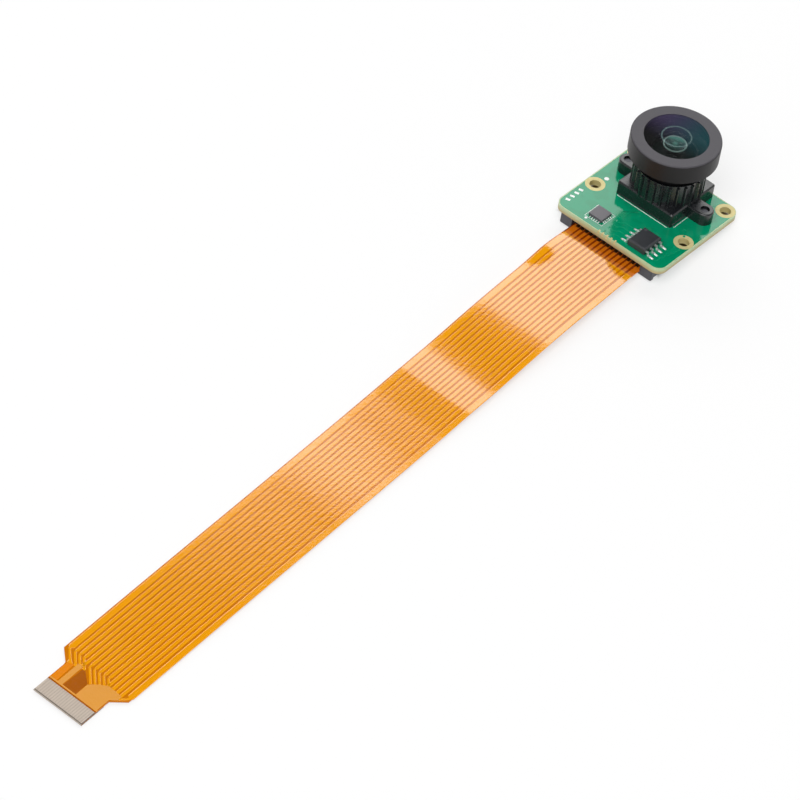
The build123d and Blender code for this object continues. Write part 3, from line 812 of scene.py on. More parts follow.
@dataclass
class Board:
    """The circuit board: its mask, printed marks, raised tracks, vias and edge pads.

    Places on it are given as across, and back from its front edge, in millimetres.
    """

    width: ClassVar[float] = 25.0
    depth: ClassVar[float] = 24.0
    thickness: ClassVar[float] = 1.3
    corner_radius: ClassVar[float] = 2.0
    lens_setback: ClassVar[float] = 17.0

    space: BoardSpace
    finishes: Finishes
    hole_radius: float = 1.1
    hole_across: float = 10.5
    hole_backs: Place = (9.5, 22.0)
    plating_gap: float = 0.004
    plating_thickness: float = 0.026
    plating_ends: float = 0.005
    print_height: float = 0.02
    holder_lines: tuple[tuple[Place, Place], ...] = (
        ((-5.9, 10.25), (5.95, 10.25)),
        ((6.8, 11.2), (6.8, 15.6)),
    )
    line_width: float = 0.16
    edge_dots: tuple[float, ...] = (2.43, 3.73, 5.01, 6.25)
    edge_dot_across: float = -11.25
    edge_dot_reach: Place = (0.42, 0.12)
    edge_dot_width: float = 0.62
    dot_points: int = 20
    hole_points: int = 48
    # Round dots: across, back, radius
    round_dots: tuple[Row, ...] = (
        (-9.94, 12.2, 0.46),
        (-5.9, 1.1, 0.26),
        (8.2, 17.9, 0.24),
    )
    frame_side: float = 4.0
    frame_width: float = 0.1
    track_height: float = 0.03
    track_width: float = 0.2
    pad_count: int = 5
    pad_start: float = -2.0
    pad_pitch: float = 0.95
    pad_width: float = 0.34
    pad_skin: float = 0.015
    pad_reach: float = 0.5
    pad_drop: float = 0.65
    via_radius: float = 0.26
    vias: tuple[Place, ...] = (
        (-1.4, 0.9), (-1.4, 2.2), (-1.4, 3.4), (-1.4, 4.7), (10.2, 7.2), (10.5, 7.2),
        (10.8, 7.2), (11.1, 7.2), (9.6, 10.8), (8.6, 12.2), (-8.2, 13.8), (-9.0, 21.0),
        (8.4, 21.6), (0.6, 8.9),
    )

    def build(self) -> None:
        """Dresses the board and adds what is printed and etched on it."""
        dress(self.finishes.laminate, "circuit_board")
        dress(self.finishes.gold, "hole_plating")
        self.print_marks()
        self.raise_tracks()
        self.add_edge_pads()
        self.add_vias()
        self.line_holes()

    def strip(self, solid: Solid, line: list[Place], width: float, height: float) -> None:
        """Adds a thin flat strip along a line on the board's face.

        Args:
            solid: Where the strip goes.
            line: Points across and back.
            width: The strip's width.
            height: How far it stands off the face.
        """
        section = ((0.5, -1.0), (-0.5, -1.0), (-0.35, 1.0), (0.35, 1.0))
        rings = []
        for i, (x, v) in enumerate(line):
            before, after = line[max(i - 1, 0)], line[min(i + 1, len(line) - 1)]
            dx, dv = after[0] - before[0], after[1] - before[1]
            side_x, side_v = -dv / hypot(dx, dv) * width, dx / hypot(dx, dv) * width
            rings.append(
                [
                    self.space.at(x + side_x * out, v + side_v * out, height * level)
                    for out, level in section
                ]
            )
        solid.add_rings(rings)

    def dot(self, solid: Solid, x: float, v: float, radius: float, height: float) -> None:
        """Adds a thin round dot on the board's face, at a place across and back."""
        profile = ((1.0, -1.0), (1.0, 0.6), (0.85, 1.0))
        rings = [(x, v, radius * out, height * level) for out, level in profile]
        solid.add_rings([self.space.ring(*ring, self.dot_points) for ring in rings])

    def print_marks(self) -> None:
        """Prints the lines by the holder, the dots and the square chip's frame in white ink."""
        ink = Solid()
        for line in self.holder_lines:
            self.strip(ink, list(line), self.line_width, self.print_height)
        reach_x, reach_v = self.edge_dot_reach
        for back in self.edge_dots:
            ends = [(self.edge_dot_across + i * reach_x, back + i * reach_v) for i in (-1, 1)]
            self.strip(ink, ends, self.edge_dot_width, self.print_height)
        for x, v, radius in self.round_dots:
            self.dot(ink, x, v, radius, self.print_height)
        half = self.frame_side / 2
        corners = [
            (Chips.controller_across + side_x * half, Chips.controller_back + side_v * half)
            for side_x, side_v in ((-1, -1), (1, -1), (1, 1), (-1, 1))
        ]
        for start, end in zip(corners, corners[1:] + corners[:1]):
            self.strip(ink, [start, end], self.frame_width, self.print_height)
        ink.make_piece("printed_marks", self.finishes.ink)

    def raise_tracks(self) -> None:
        """Raises the copper tracks that show through the mask between the chips and the lens."""
        # The bends are listed: a bundle behind the edge pads, and both sides' leads
        lines = []
        for i in range(5):
            step = i * 0.35
            x = step - 2.7
            lines.append([(x, 5.5), (x, 7.0 + step), (x + 1.3, 8.3 + step), (x + 1.3, 10.0)])
        for i in range(Chips.leads_a_side):
            back, step = Chips.lead_back(i), i * 0.3
            left, right = 0.1 - step, 10.2 + step
            lines.append([(2.3, back), (left + 0.8, back), (left, back - 0.8), (-1.4, back - 0.8)])
            lines.append([(9.2, back), (right - 0.3, back), (right, back + 0.3), (right, 7.0)])
        copper = Solid()
        for line in lines:
            self.strip(copper, line, self.track_width, self.track_height)
        copper.make_piece("raised_tracks", self.finishes.raised_mask)

    def add_edge_pads(self) -> None:
        """Adds the row of bare pads that fold over the board's front edge."""
        pads = Solid()
        skin, reach, drop = self.pad_skin, self.pad_reach, self.pad_drop
        corners = ((-skin, -drop), (reach, -drop), (reach, skin), (-skin, skin))
        for i in range(self.pad_count):
            x = self.pad_start + i * self.pad_pitch
            sides = (x - self.pad_width / 2, x + self.pad_width / 2)
            pads.add_rings([[self.space.at(side, v, h) for v, h in corners] for side in sides])
        pads.make_piece("edge_pads", self.finishes.gold)

    def add_vias(self) -> None:
        """Adds the small masked bumps of the vias."""
        bumps = Solid()
        for x, v in self.vias:
            self.dot(bumps, x, v, self.via_radius, self.track_height)
        bumps.make_piece("masked_vias", self.finishes.raised_mask)

    def line_holes(self) -> None:
        """Lines the four mounting holes with their thin plated walls."""
        lining = Solid()
        outer = self.hole_radius - self.plating_gap
        inner = outer - self.plating_thickness
        low, high = -self.thickness + self.plating_ends, -self.plating_ends
        section = ((outer, low), (outer, high), (inner, high), (inner, low))
        for x in (-self.hole_across, self.hole_across):
            for v in self.hole_backs:
                rings = [self.space.ring(x, v, r, h, self.hole_points) for r, h in section]
                lining.add_rings(rings, looped=True)
        lining.make_piece("hole_lining", self.finishes.gold)


@dataclass
class Chips:
    """The two chips on the board's face, with their leads, pads and solder."""

    leads_a_side: ClassVar[int] = 4
    solder_sharp: ClassVar[float] = 70.0

    space: BoardSpace
    finishes: Finishes
    driver_across: float = 5.8
    driver_back: float = 3.6
    lead_pitch: float = 1.27
    lead_span: float = 6.2
    lead_width: float = 0.42
    lead_foot: float = 0.65
    pad_heel: float = 0.12
    pad_toe: float = 0.65
    pad_margin: float = 0.02
    sink: float = 0.01
    controller_across: float = -4.5
    controller_back: float = 3.5
    controller_side: float = 3.0
    pad_pitch: float = 0.5
    pads_a_side: int = 5
    # The leads' solder from heel to toe: share of its length, height, share of its width
    lead_fillet: tuple[Row, ...] = (
        (0.0, 0.06, 0.82),
        (0.18, 0.26, 1.0),
        (0.5, 0.21, 1.0),
        (0.8, 0.16, 1.0),
        (1.0, 0.05, 0.82),
    )
    # The square chip's solder, outwards from its side: distance, height, half width
    side_fillet: tuple[Row, ...] = (
        (0.0, 0.22, 0.10),
        (0.2, 0.12, 0.13),
        (0.42, 0.03, 0.12),
    )
    mark_points: int = 24
    # The pin-one marks: across, back, height of the chip's top, radius
    pin_marks: tuple[Row, ...] = (
        (4.55, 5.4, 1.5, 0.3),
        (-5.55, 2.45, 0.65, 0.18),
    )

    @classmethod
    def lead_back(cls, place: int) -> float:
        """How far back one of a side's leads lies, counted from the front."""
        return cls.driver_back + (place - (cls.leads_a_side - 1) / 2) * cls.lead_pitch

    def build(self) -> None:
        """Dresses the chips and adds their solder and marks."""
        dress(self.finishes.chip, "driver_chip")
        dress(self.finishes.small_chip, "controller_chip")
        dress(self.finishes.tin, "driver_chip_leads", "controller_pads")
        self.solder_leads()
        self.solder_controller()
        self.mark_pin_one()

    def solder_leads(self) -> None:
        """Adds a pad and a solder fillet under each of the eight leads."""
        solder = Solid()
        section = ((-1, 0), (1, 0), (0.9, 0.45), (0.45, 1), (-0.45, 1), (-0.9, 0.45))
        inner = self.lead_span / 2 - self.lead_foot - self.pad_heel
        outer = self.lead_span / 2 + self.pad_toe
        for side in (-1, 1):
            for i in range(self.leads_a_side):
                back = self.lead_back(i)
                rings = []
                for share, height, width in self.lead_fillet:
                    x = self.driver_across + side * (inner + (outer - inner) * share)
                    half = (self.lead_width / 2 + self.pad_margin) * width
                    rings.append(
                        [
                            self.space.at(x, back + half * out, height * up or -self.sink)
                            for out, up in section
                        ]
                    )
                solder.add_rings(rings)
        solder.make_piece(
            "lead_solder", self.finishes.tin, sharp_degrees=self.solder_sharp
        )

    def solder_controller(self) -> None:
        """Adds the solder that rises against the square chip's sides at each pad."""
        solder = Solid()
        for i in range(self.pads_a_side):
            offset = (i - (self.pads_a_side - 1) / 2) * self.pad_pitch
            for side, turned in ((-1, False), (-1, True), (1, False), (1, True)):
                rings = []
                for out, height, half in self.side_fillet:
                    near = side * (self.controller_side / 2 + out)
                    top, low = half * 0.6, -self.sink
                    ring = []
                    for along, level in ((-half, low), (half, low), (top, height), (-top, height)):
                        x, v = (offset + along, near) if turned else (near, offset + along)
                        ring.append(self.on_controller(x, v, level))
                    rings.append(ring)
                solder.add_rings(rings)
        solder.make_piece(
            "controller_solder", self.finishes.tin, sharp_degrees=self.solder_sharp
        )

    def on_controller(self, x: float, v: float, level: float) -> Vector:
        """A point in metres, from millimetres off the square chip's middle."""
        return self.space.at(self.controller_across + x, self.controller_back + v, level)

    def mark_pin_one(self) -> None:
        """Adds the small round mark that both chips have in one corner."""
        marks = Solid()
        for x, v, top, radius in self.pin_marks:
            profile = ((radius, -0.02), (radius, 0.012), (radius * 0.9, 0.014))
            rings = [(x, v, r, top + level) for r, level in profile]
            marks.add_rings([self.space.ring(*ring, self.mark_points) for ring in rings])
        marks.make_piece("pin_one_marks", self.finishes.small_chip)


@dataclass(frozen=True)
class Dome:
    """A thin round skin on the lens's axis: its radius, crown, bulge and thickness."""

    radius: float
    crown: float
    bulge: float
    thickness: float


@dataclass
class LensUnit:
    """The lens holder with its screws, and the lens that turns in it."""

    glass_crown: ClassVar[float] = 14.4
    pupil_height: ClassVar[float] = 12.5

    space: BoardSpace
    finishes: Finishes
    coating: Dome = Dome(6.45, glass_crown, 0.06, 0.005)
    pupil: Dome = Dome(2.1, pupil_height + 0.2, 0.2, 0.15)
    round_points: int = 64
    dome_steps: int = 12
    dome_start: float = 0.02
    edge_radius: float = 2.12
    edge_width: float = 0.28
    edge_height: float = 12.55
    edge_sides: int = 8

    def build(self) -> None:
        """Dresses the holder, the ring, the glass and the sensor, and adds the lens's depth."""
        # The front coating's thin skin carries the painted reflection
        self.add_dome("front_coating", self.coating, self.finishes.coating)
        # The green pupil's skin carries a painted highlight
        self.add_dome("green_pupil", self.pupil, self.finishes.pupil)
        self.add_element_edge()
        dress(self.finishes.holder, "lens_holder")
        dress(self.finishes.screw, "holder_screws")
        dress(self.finishes.anodised, "front_ring")
        dress(self.finishes.seal, "front_seal")
        dress(self.finishes.front_glass, "front_glass")
        dress(self.finishes.inner_glass, "second_glass", "third_glass", "rear_glass")
        dress(self.finishes.filter_glass, "ir_filter", "sensor_cover_glass")
        dress(self.finishes.sensor, "image_sensor")
        blackened = ("lens_barrel", "front_spacer", "aperture_stop", "rear_spacer")
        dress(self.finishes.lens_black, *blackened)

    def rings(self, profile: list[Place]) -> list[list[Vector]]:
        """Rings round the lens's axis, from a profile of radii and heights."""
        axis = Board.lens_setback
        return [self.space.ring(0, axis, r, h, self.round_points) for r, h in profile]

    def add_dome(self, name: str, dome: Dome, material: Material) -> None:
        """Adds a thin domed skin.

        Args:
            name: The piece's name.
            dome: Its form.
            material: Its finish.
        """
        start, steps = self.dome_start, self.dome_steps
        shares = [start + (1 - start) * i / steps for i in range(steps + 1)]
        top = [(dome.radius * t, dome.crown - dome.bulge * t * t) for t in shares]
        solid = Solid()
        solid.add_rings(self.rings(top + [(r, h - dome.thickness) for r, h in reversed(top)]))
        solid.make_piece(name, material, Body.LENS)

    def add_element_edge(self) -> None:
        """Adds the edge of the inner glass, painted pale as a highlight."""
        half, radius, height = self.edge_width / 2, self.edge_radius, self.edge_height
        turns = [2 * pi * side / self.edge_sides for side in range(self.edge_sides)]
        profile = [(radius + half * cos(turn), height + half * sin(turn)) for turn in turns]
        edge = Solid()
        edge.add_rings(self.rings(profile), looped=True)
        edge.make_piece("element_edge", self.finishes.element_edge, Body.LENS)


@dataclass
class Underside:
    """The small parts under the board and the cable's connector."""

    finishes: Finishes

    def build(self) -> None:
        """Dresses them."""
        dress(self.finishes.ceramic, "capacitors")
        dress(self.finishes.tin, "capacitor_ends", "connector_tabs")
        dress(self.finishes.chip, "oscillator", "regulators")
        dress(self.finishes.screw, "oscillator_lid")
        dress(self.finishes.connector, "connector_housing", "connector_latch")
        dress(self.finishes.connector_contact, "connector_contacts")


@dataclass
class FlatCable:
    """The amber flat cable: film, copper tracks, far contacts and stiffeners.

    Places on it are given as across, and forward of the board's front edge, in millimetres.
    """

    cad_nodes: ClassVar[tuple[str, ...]] = (
        "cable_near_stiffener", "cable_near_contacts", "cable_far_stiffener", "cable_far_contacts"
    )

    space: BoardSpace
    finishes: Finishes
    width: float = 16.0
    neck_width: float = 11.0
    thickness: float = 0.2
    length: float = 149.0
    exit_drop: float = 1.6
    left_shoulder: float = 135.0
    right_shoulder: float = 136.0
    shoulder_run: float = 2.25
    columns: int = 40
    contact_zone: float = 141.2
    end_place: float = 144.97
    end_trim: float = 0.16
    patch_depth: float = 0.05
    track_count: int = 15
    track_pitch: float = 1.01
    track_shift: float = 0.15
    track_width: float = 0.64
    track_relief: float = 0.012
    track_start: float = -2.0
    track_step: float = 0.6
    outer_track_width: float = 1.2
    outer_track_shift: float = 0.24
    jog_least: float = 0.5
    jog_share: float = 0.66
    crease: float = 47.7
    crease_run: float = 8.0
    crease_depth: float = 0.10
    recovery: Place = (82.0, 125.0)
    route_order: int = 3
    route_resolution: int = 48
    # A track's section: shares of its half width and of its half thickness
    track_section: tuple[Place, ...] = (
        (-1.0, 0.88), (-0.85, 1.0), (0.85, 1.0), (1.0, 0.88),
        (1.0, -0.88), (0.85, -1.0), (-0.85, -1.0), (-1.0, -0.88),
    )
    # Shallow swells and dents: across, forward, reach across, reach forward, height
    swells: tuple[Row, ...] = (
        (-9.2, 7.6, 3.5, 4.2, 0.55),
        (10.4, 10.5, 2.8, 5.0, -0.3),
    )
    # The route's points, forward of the board's edge and above the table
    route: tuple[Place, ...] = (
        (-3.927, 0.876), (2.0, 1.449), (5.0, 1.61), (11.5, 1.82), (23.2, 1.82), (29.2, 1.62),
        (39.6, 1.03), (45.0, 0.99), (50.5, 0.935), (56.5, 0.79), (66.0, 0.63), (80.0, 0.62),
        (86.0, 0.58), (97.0, 0.53), (108.0, 0.49), (118.0, 0.42), (128.0, 0.31), (145.0, 0.25),
    )
    edge_y: float = field(init=False)
    line: list[Vector] = field(init=False)

    def __post_init__(self) -> None:
        """Measures from the board's lower front edge, and reads the route."""
        self.edge_y = self.space.at(0, 0, -Board.thickness).y
        self.line = self.read_route()

    def build(self) -> None:
        """Lays the cable along its route and dresses what is on it."""
        film = self.make_film()
        pieces = [self.make_tracks(), *self.make_areas()]
        near_stiffener, near_contacts, far_stiffener, far_contacts = self.cad_nodes
        dress(self.finishes.stiffener, near_stiffener, far_stiffener)
        # The near contacts are painted dark brown for the shade under the board
        dress(self.finishes.connector_contact, near_contacts)
        dress(self.finishes.contact, far_contacts)
        exit_point = self.space.at(0, 0, -Board.thickness - self.exit_drop)
        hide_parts("flat_cable")

    def read_route(self) -> list[Vector]:
        """Draws the route as a smooth spline and reads its points.

        Returns:
            The cable's middle line, in metres.
        """
        curve = bpy.data.curves.new("cable_route", "CURVE")
        curve.dimensions = "3D"
        spline = curve.splines.new("NURBS")
        spline.points.add(len(self.route) - 1)
        for point, (forward, height) in zip(spline.points, self.route):
            point.co = (0, self.edge_y - forward * MM, height * MM, 1)
        spline.order_u = self.route_order
        spline.use_endpoint_u = True
        spline.resolution_u = self.route_resolution
        holder = bpy.data.objects.new("cable_route", curve)
        bpy.context.scene.collection.objects.link(holder)
        graph = bpy.context.evaluated_depsgraph_get()
        mesh = bpy.data.meshes.new_from_object(holder.evaluated_get(graph))
        line = [vertex.co.copy() for vertex in mesh.vertices]
        bpy.data.objects.remove(holder)
        bpy.data.meshes.remove(mesh)
        bpy.data.curves.remove(curve)
        return line

    def reach_aside(self, forward: float, shoulder: float) -> float:
        """How far the film's edge with that shoulder lies from the middle line."""
        share = share_between(forward, shoulder, shoulder + self.shoulder_run)
        return (self.width + (self.neck_width - self.width) * share) / 2

    def forward_of(self, point: Vector) -> float:
        """How far a point lies forward of the board's front edge, in millimetres."""
        return (self.edge_y - point.y) / MM

    def frame_at(self, forward: float) -> tuple[Vector, Vector]:
        """The middle line's point and upward normal at a place along the cable.

        Args:
            forward: The place along the film.

        Returns:
            The point in metres, and the normal.
        """
        y = self.edge_y - forward * MM
        for before, after in zip(self.line, self.line[1:]):
            if after.y <= y:
                break
        share = (y - before.y) / (after.y - before.y)
        along = (after - before).normalized()
        return before.lerp(after, share), Vector((0, along.z, -along.y))

    def relief(self, across: float, forward: float) -> float:
        """How far the film stands off its middle line, from its crease and its shallow swells.

        Args:
            across: The place across the film.
            forward: The place along it.

        Returns:
            The height, in millimetres.
        """
        bent = share_between(forward, self.crease, self.crease + self.crease_run)
        back = share_between(forward, *self.recovery)
        height = self.crease_depth * (back * back * (3 - 2 * back) - 1 + (1 - bent) ** 2)
        for swell_across, swell_forward, reach_across, reach_forward, rise in self.swells:
            x = (across - swell_across) / reach_across
            s = (forward - swell_forward) / reach_forward
            height += rise * exp(-(x * x + s * s))
        return height

    def surface_at(self, across: float, forward: float, level: float) -> Vector:
        """A point on or off the film.

        Args:
            across: The place across the film.
            forward: The place along it.
            level: The height off the film's middle, in millimetres.

        Returns:
            The point, in metres.
        """
        point, normal = self.frame_at(forward)
        height = level + self.relief(across, forward)
        return point + Vector((across * MM, 0, 0)) + normal * height * MM

    def make_film(self) -> bpy.types.Object:
        """Makes the film itself, a thin closed band as wide as the cable.

        Returns:
            The new piece.
        """
        places = [self.forward_of(point) for point in self.line[:-1]]
        places = sorted([*places, self.crease, self.forward_of(self.line[-1]) - 1e-6])
        half = self.thickness / 2
        rings = []
        for forward in places:
            left = -self.reach_aside(forward, self.left_shoulder)
            right = self.reach_aside(forward, self.right_shoulder)
            shares = [column / self.columns for column in range(self.columns + 1)]
            spots = [left + (right - left) * share for share in shares]
            top = [self.surface_at(x, forward, half) for x in spots]
            bottom = [self.surface_at(x, forward, -half) for x in spots]
            rings.append(top + bottom[::-1])
        solid = Solid()
        solid.add_rings(rings)
        return solid.make_piece("cable_film", self.finishes.film)

    def track_lines(self) -> list[list[Place]]:
        """The middle line of every copper track, with its jog before the far contacts.

        Returns:
            For each track, its points as across and forward, in millimetres.
        """
        lines = []
        for i in range(self.track_count):
            x = (i - (self.track_count - 1) / 2) * self.track_pitch + self.track_shift
            if i in (0, self.track_count - 1):
                x += self.outer_track_shift if i else -self.outer_track_shift
            if i < 4:
                # On the left they jog aside, each a little less, and run on
                jog, bend = 2.2 - 0.2 * i, 134.45 - 0.02 * i
                line = [(x, bend), (x + jog, bend + jog), (x + jog, bend + jog + 0.3)]
            elif i == 4:
                # The fifth ends over the window
                line = [(x, 134.6), (x - 0.2, 136.0)]
            elif i < 10:
                # The next five jog aside and end at the window and the copper area
                jog, bend = 2.6 - 0.28 * (i - 5), 135.1 - 0.08 * (i - 5)
                line = [(x, bend), (x + jog, bend + jog)]
            elif i < self.track_count - 1:
                # These run straight into the copper area
                line = [(x, 136.3)]
            else:
                # The last one turns in along the right shoulder
                x += 0.1
                line = [(x, 135.6), (x - 1.7, 137.3)]
            lines.append([(x, self.track_start), *line])
        return lines

    def make_tracks(self) -> bpy.types.Object:
        """Makes the copper tracks, which stand out a little on both faces of the film.

        Returns:
            The new piece.
        """
        tracks = Solid()
        rise = self.thickness / 2 + self.track_relief
        for i, line in enumerate(self.track_lines()):
            outer = i in (0, self.track_count - 1)
            rings = []
            for (x0, s0), (x1, s1) in zip(line, line[1:]):
                dx, ds = x1 - x0, s1 - s0
                half = (self.outer_track_width if outer else self.track_width) / 2
                if abs(dx) > self.jog_least:
                    half = self.track_width / 2 * self.jog_share
                side_x, side_s = ds / hypot(dx, ds) * half, -dx / hypot(dx, ds) * half
                steps = max(2, round(ds / self.track_step))
                for step in range(steps + (s1 == line[-1][1])):
                    x, s = x0 + dx * step / steps, s0 + ds * step / steps
                    rings.append(
                        [
                            self.surface_at(x + side_x * out, s + side_s * out, rise * level)
                            for out, level in self.track_section
                        ]
                    )
            tracks.add_rings(rings)
        return tracks.make_piece("cable_tracks", self.finishes.track, sharp_degrees=6)

    def patch(
        self, name: str, outline: list[Place], lift: float, material: Material, slot: Slot
    ) -> bpy.types.Object:
        """Makes a thin flat area on the film's upper face.

        Args:
            name: The piece's name.
            outline: Its corners, as across and forward.
            lift: How far its top stands off the film.
            material: Its finish.
            slot: Not used.

        Returns:
            The new piece.
        """
        levels = (self.thickness / 2 - self.patch_depth, self.thickness / 2 + lift)
        solid = Solid()
        solid.add_rings([[self.surface_at(x, s, level) for x, s in outline] for level in levels])
        return solid.make_piece(name, material)

    def band(self, start: float, end: float) -> list[Place]:
        """The outline of a band over the whole tongue, between two places along the film."""
        edge = self.neck_width / 2
        return [(-edge, end), (-edge, start), (edge, start), (edge, end)]

    def make_areas(self) -> list[bpy.types.Object]:
        """Makes what's on the tongue: copper areas, the window, the bed, the cover's edge, painted
        shade.

        Returns:
            The new pieces.
        """
        edge, end, tip = self.neck_width / 2, self.contact_zone, self.end_place
        inner, trim = edge - self.end_trim, tip - self.end_trim
        shade_end = end + 0.4
        front = [
            (-edge, tip), (-edge, trim), (inner, trim),
            (inner, shade_end), (edge, shade_end), (edge, tip),
        ]
        left = [
            (-edge + 0.15, end), (-edge + 0.15, 138.3), (-5.3, 136.9), (-4.15, 136.5), (-4.0, end)
        ]
        stripe = [(-3.75, end), (-3.75, 135.8), (-2.75, 135.8), (-2.7, end)]
        right = [
            (0.45, end), (0.4, 138.1), (1.9, 136.7), (3.4, 135.9), (6.3, 136.0),
            (6.5, 137.0), (edge - 0.2, 138.0), (edge - 0.2, end),
        ]
        window = [(-2.6, end), (-2.4, 135.8), (0.3, 138.0), (0.4, end)]
        cover, shade = self.band(end - 0.2, end + 0.1), self.band(end + 0.1, shade_end)
        bed = self.band(end, end + 3.98)
        looks = self.finishes
        # Each one's name, outline, lift, finish and slot
        areas = (
            ("cover_edge", cover, 0.06, looks.ground, Slot.FILM),
            # cover_shade is a painted shadow beside the cover's edge
            ("cover_shade", shade, 0.05, looks.bare_film, Slot.FILM),
            # end_trim is a strip of painted shade along the stiffened end's edges
            ("end_trim", front, 0.05, looks.end_edge_shade, Slot.STIFFENER),
            ("copper_area_left", left, 0.03, looks.thick_film, Slot.FILM),
            ("copper_band", stripe, 0.03, looks.ground, Slot.FILM),
            ("copper_area_right", right, 0.03, looks.ground, Slot.FILM),
            ("film_window", window, 0.01, looks.bare_film, Slot.FILM),
            # Higher than this, the bed would swallow the contact strips
            ("contact_bed", bed, 0.012, looks.contact_bed, Slot.STIFFENER),
        )
        return [self.patch(*area) for area in areas]


def towards(azimuth: float, elevation: float) -> Vector:
    """The direction from the object to a viewer or lamp at two angles in degrees."""
    a, e = radians(azimuth), radians(elevation)
    return Vector((sin(a) * cos(e), -cos(a) * cos(e), sin(e)))


@dataclass(frozen=True)
class SoftBox:
    """A plain rectangular studio lamp that faces the object, with its sizes in metres."""

    name: str
    azimuth: float
    elevation: float
    distance: float
    width: float
    height: float
    radiance: float

    def build(self, aim: Vector) -> None:
        """Hangs the lamp.

        Args:
            aim: The point that it faces, in metres.
        """
        direction = towards(self.azimuth, self.elevation)
        lamp = bpy.data.lights.new(self.name, "AREA")
        lamp.shape = "RECTANGLE"
        lamp.size, lamp.size_y = self.width, self.height
        lamp.energy = self.radiance * pi * self.width * self.height
        holder = bpy.data.objects.new(self.name, lamp)
        holder.location = aim + direction * self.distance
        holder.rotation_mode = "QUATERNION"
        holder.rotation_quaternion = direction.to_track_quat("Z", "Y")
        bpy.context.scene.collection.objects.link(holder)
        log.info("hung %s at %.0f, %.0f degrees", self.name, self.azimuth, self.elevation)


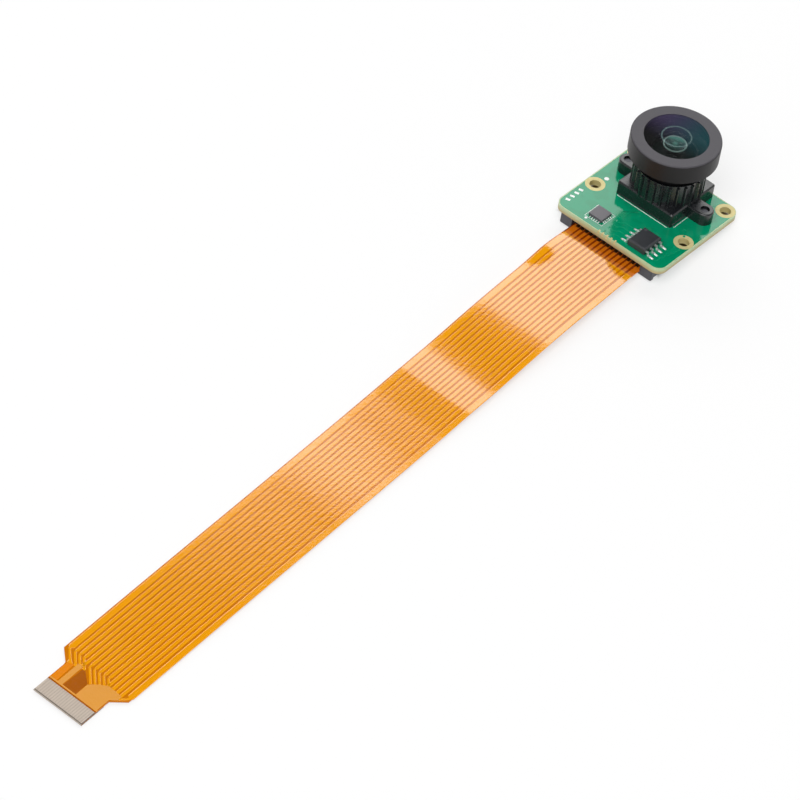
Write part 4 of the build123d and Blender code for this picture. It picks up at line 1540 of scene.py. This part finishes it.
@dataclass
class Studio:
    """A pale floor, the lamps round the object and the light of the room."""

    space: BoardSpace
    front_edge_y: float
    aim_forward: float = 60.0
    floor_side: float = 6.0
    floor_drop: float = 0.02
    horizon: float = 0.8
    zenith: float = 0.03
    fall_off: Place = (0.25, 0.6)
    shown_white: float = 0.6
    paper: str = "#f8f8f8"
    # The dark brown painted on the floor under the board, as its shade
    painted_shade_paper: str = "#5a4c30"
    paper_roughness: float = 0.9
    shade_run: float = 1.5
    boxes: tuple[SoftBox, ...] = (
        SoftBox("rear_softbox", 212.0, 37.8, 2.0, 2.4, 0.91, 3.0),
        SoftBox("front_softbox", 20.0, 68.0, 2.0, 1.8, 1.8, 3.4),
    )
    # Where the painted shade under the board ends: a direction, the board's half side, and how far
    # past
    shade: tuple[tuple[tuple[int, int, int], float, float], ...] = (
        ((1, 0, 0), Board.width / 2, -1.0),
        ((-1, 0, 0), Board.width / 2, 1.1),
        ((0, 1, 0), Board.depth / 2, 0.5),
        ((0, -1, 0), Board.depth / 2, -1.6),
    )

    def build(self) -> None:
        """Sets up the floor, the lamps, the world and the colour management."""
        self.make_floor()
        aim = Vector((0, self.front_edge_y - self.aim_forward * MM, 0))
        for box in self.boxes:
            box.build(aim)
        self.make_world()
        bpy.context.scene.view_settings.view_transform = "Standard"

    def make_floor(self) -> None:
        """Makes the floor, which looks white and keeps the object's shadow."""
        half = self.floor_side / 2
        mesh = bpy.data.meshes.new("floor")
        corners = [(-half, -half, 0), (half, -half, 0), (half, half, 0), (-half, half, 0)]
        mesh.from_pydata(corners, [], [(0, 1, 2, 3)])
        mesh.materials.append(self.make_paper())
        floor = bpy.data.objects.new("floor", mesh)
        floor.location.z = -self.floor_drop * MM
        bpy.context.scene.collection.objects.link(floor)
        log.info("laid the floor")

    def make_paper(self) -> Material:
        """Makes the floor's finish: matt white paper with a little light of its own.

        Returns:
            The finished material, with a dark brown shade painted right under the board.
        """
        surface = Surface("pale_paper_sweep")
        tree = surface.tree
        rays = add_node(tree, "LightPath").outputs
        mirrored = surface.maths("MAXIMUM", rays["Is Glossy Ray"], rays["Is Transmission Ray"])
        seen = surface.maths("MAXIMUM", rays["Is Camera Ray"], mirrored)
        # Under the board the paper is painted dark brown as shade and gives no light of its own
        beside = self.beside_board(surface)
        share = surface.maths("MULTIPLY", seen, surface.maths("MULTIPLY", beside, self.shown_white))
        white = add_node(tree, "Emission", {"Strength": 1.0})
        layers = {0: share, 1: surface.shader.outputs[0], 2: white.outputs[0]}
        mix = add_node(tree, "MixShader", layers)
        feed(tree, tree.nodes["Material Output"], {"Surface": mix.outputs[0]})
        return surface.finish(
            {
                "Base Color": surface.blend(beside, self.painted_shade_paper, self.paper),
                "Roughness": self.paper_roughness,
                "Specular IOR Level": 0.0,
            }
        )

    def beside_board(self, surface: Surface) -> Socket:
        """Tells the open floor from the shaded floor right under the board.

        Args:
            surface: The floor's material in the making.

        Returns:
            An output that is 0 under the board and rises to 1 beside it.
        """
        middle = self.space.at(0, Board.depth / 2)
        middle.z = 0
        rises = [
            surface.along(middle, Vector(direction), half + past - self.shade_run, half + past)
            for direction, half, past in self.shade
        ]
        return reduce(lambda one, other: surface.maths("MAXIMUM", one, other), rises)

    def make_world(self) -> None:
        """Makes the room: white near the horizon, darker overhead."""
        world = bpy.data.worlds.new("studio_room")
        world.use_nodes = True
        tree = world.node_tree
        coords = add_node(tree, "TexCoord")
        height = add_node(tree, "SeparateXYZ", {0: coords.outputs["Generated"]})
        inputs = {
            "Value": height.outputs["Z"],
            "From Min": self.fall_off[0],
            "From Max": self.fall_off[1],
            "To Min": self.horizon,
            "To Max": self.zenith,
        }
        level = add_node(tree, "MapRange", inputs, interpolation_type="SMOOTHSTEP")
        light = {"Strength": level.outputs["Result"], "Color": (1, 1, 1, 1)}
        feed(tree, tree.nodes["Background"], light)
        bpy.context.scene.world = world
        log.info("lit the room")


@dataclass
class PhotoCamera:
    """The camera, where the photograph was taken from."""

    front_edge_y: float
    azimuth: float = 37.268
    elevation: float = 48.805
    roll: float = 5.007
    distance_mm: float = 937.74
    focal_pixels: float = 5273.7
    aim_across: float = -3.535
    aim_forward: float = 52.967
    sensor_mm: float = 36.0
    clip: Place = (0.05, 20.0)

    def build(self) -> None:
        """Sets up the camera and makes it the scene's."""
        back = towards(self.azimuth, self.elevation)
        a, r = radians(self.azimuth), radians(self.roll)
        level = Vector((cos(a), sin(a), 0))
        upright = back.cross(level)
        right = level * cos(r) + upright * sin(r)
        up = upright * cos(r) - level * sin(r)
        aim = Vector((self.aim_across * MM, self.front_edge_y - self.aim_forward * MM, 0))
        data = bpy.data.cameras.new("photo_camera")
        data.sensor_width = self.sensor_mm
        data.lens = self.focal_pixels * self.sensor_mm / IMAGE_SIDE
        data.clip_start, data.clip_end = self.clip
        camera = bpy.data.objects.new("photo_camera", data)
        camera.matrix_world = Matrix((right, up, back)).transposed().to_4x4()
        camera.location = aim + back * self.distance_mm * MM
        bpy.context.scene.collection.objects.link(camera)
        bpy.context.scene.camera = camera
        log.info("set the camera %.0f mm away", self.distance_mm)


def main() -> None:
    """Builds the whole scene in order."""
    logging.basicConfig(level=logging.INFO, format="%(name)s: %(message)s")
    space = board_space()
    front_edge_y = space.at(0, 0, -Board.thickness).y
    PhotoCamera(front_edge_y).build()
    finishes = Finishes(space)
    FlatCable(space, finishes).build()
    Board(space, finishes).build()
    Chips(space, finishes).build()
    LensUnit(space, finishes).build()
    Underside(finishes).build()
    Studio(space, front_edge_y).build()


if __name__ == "__main__":
    main()
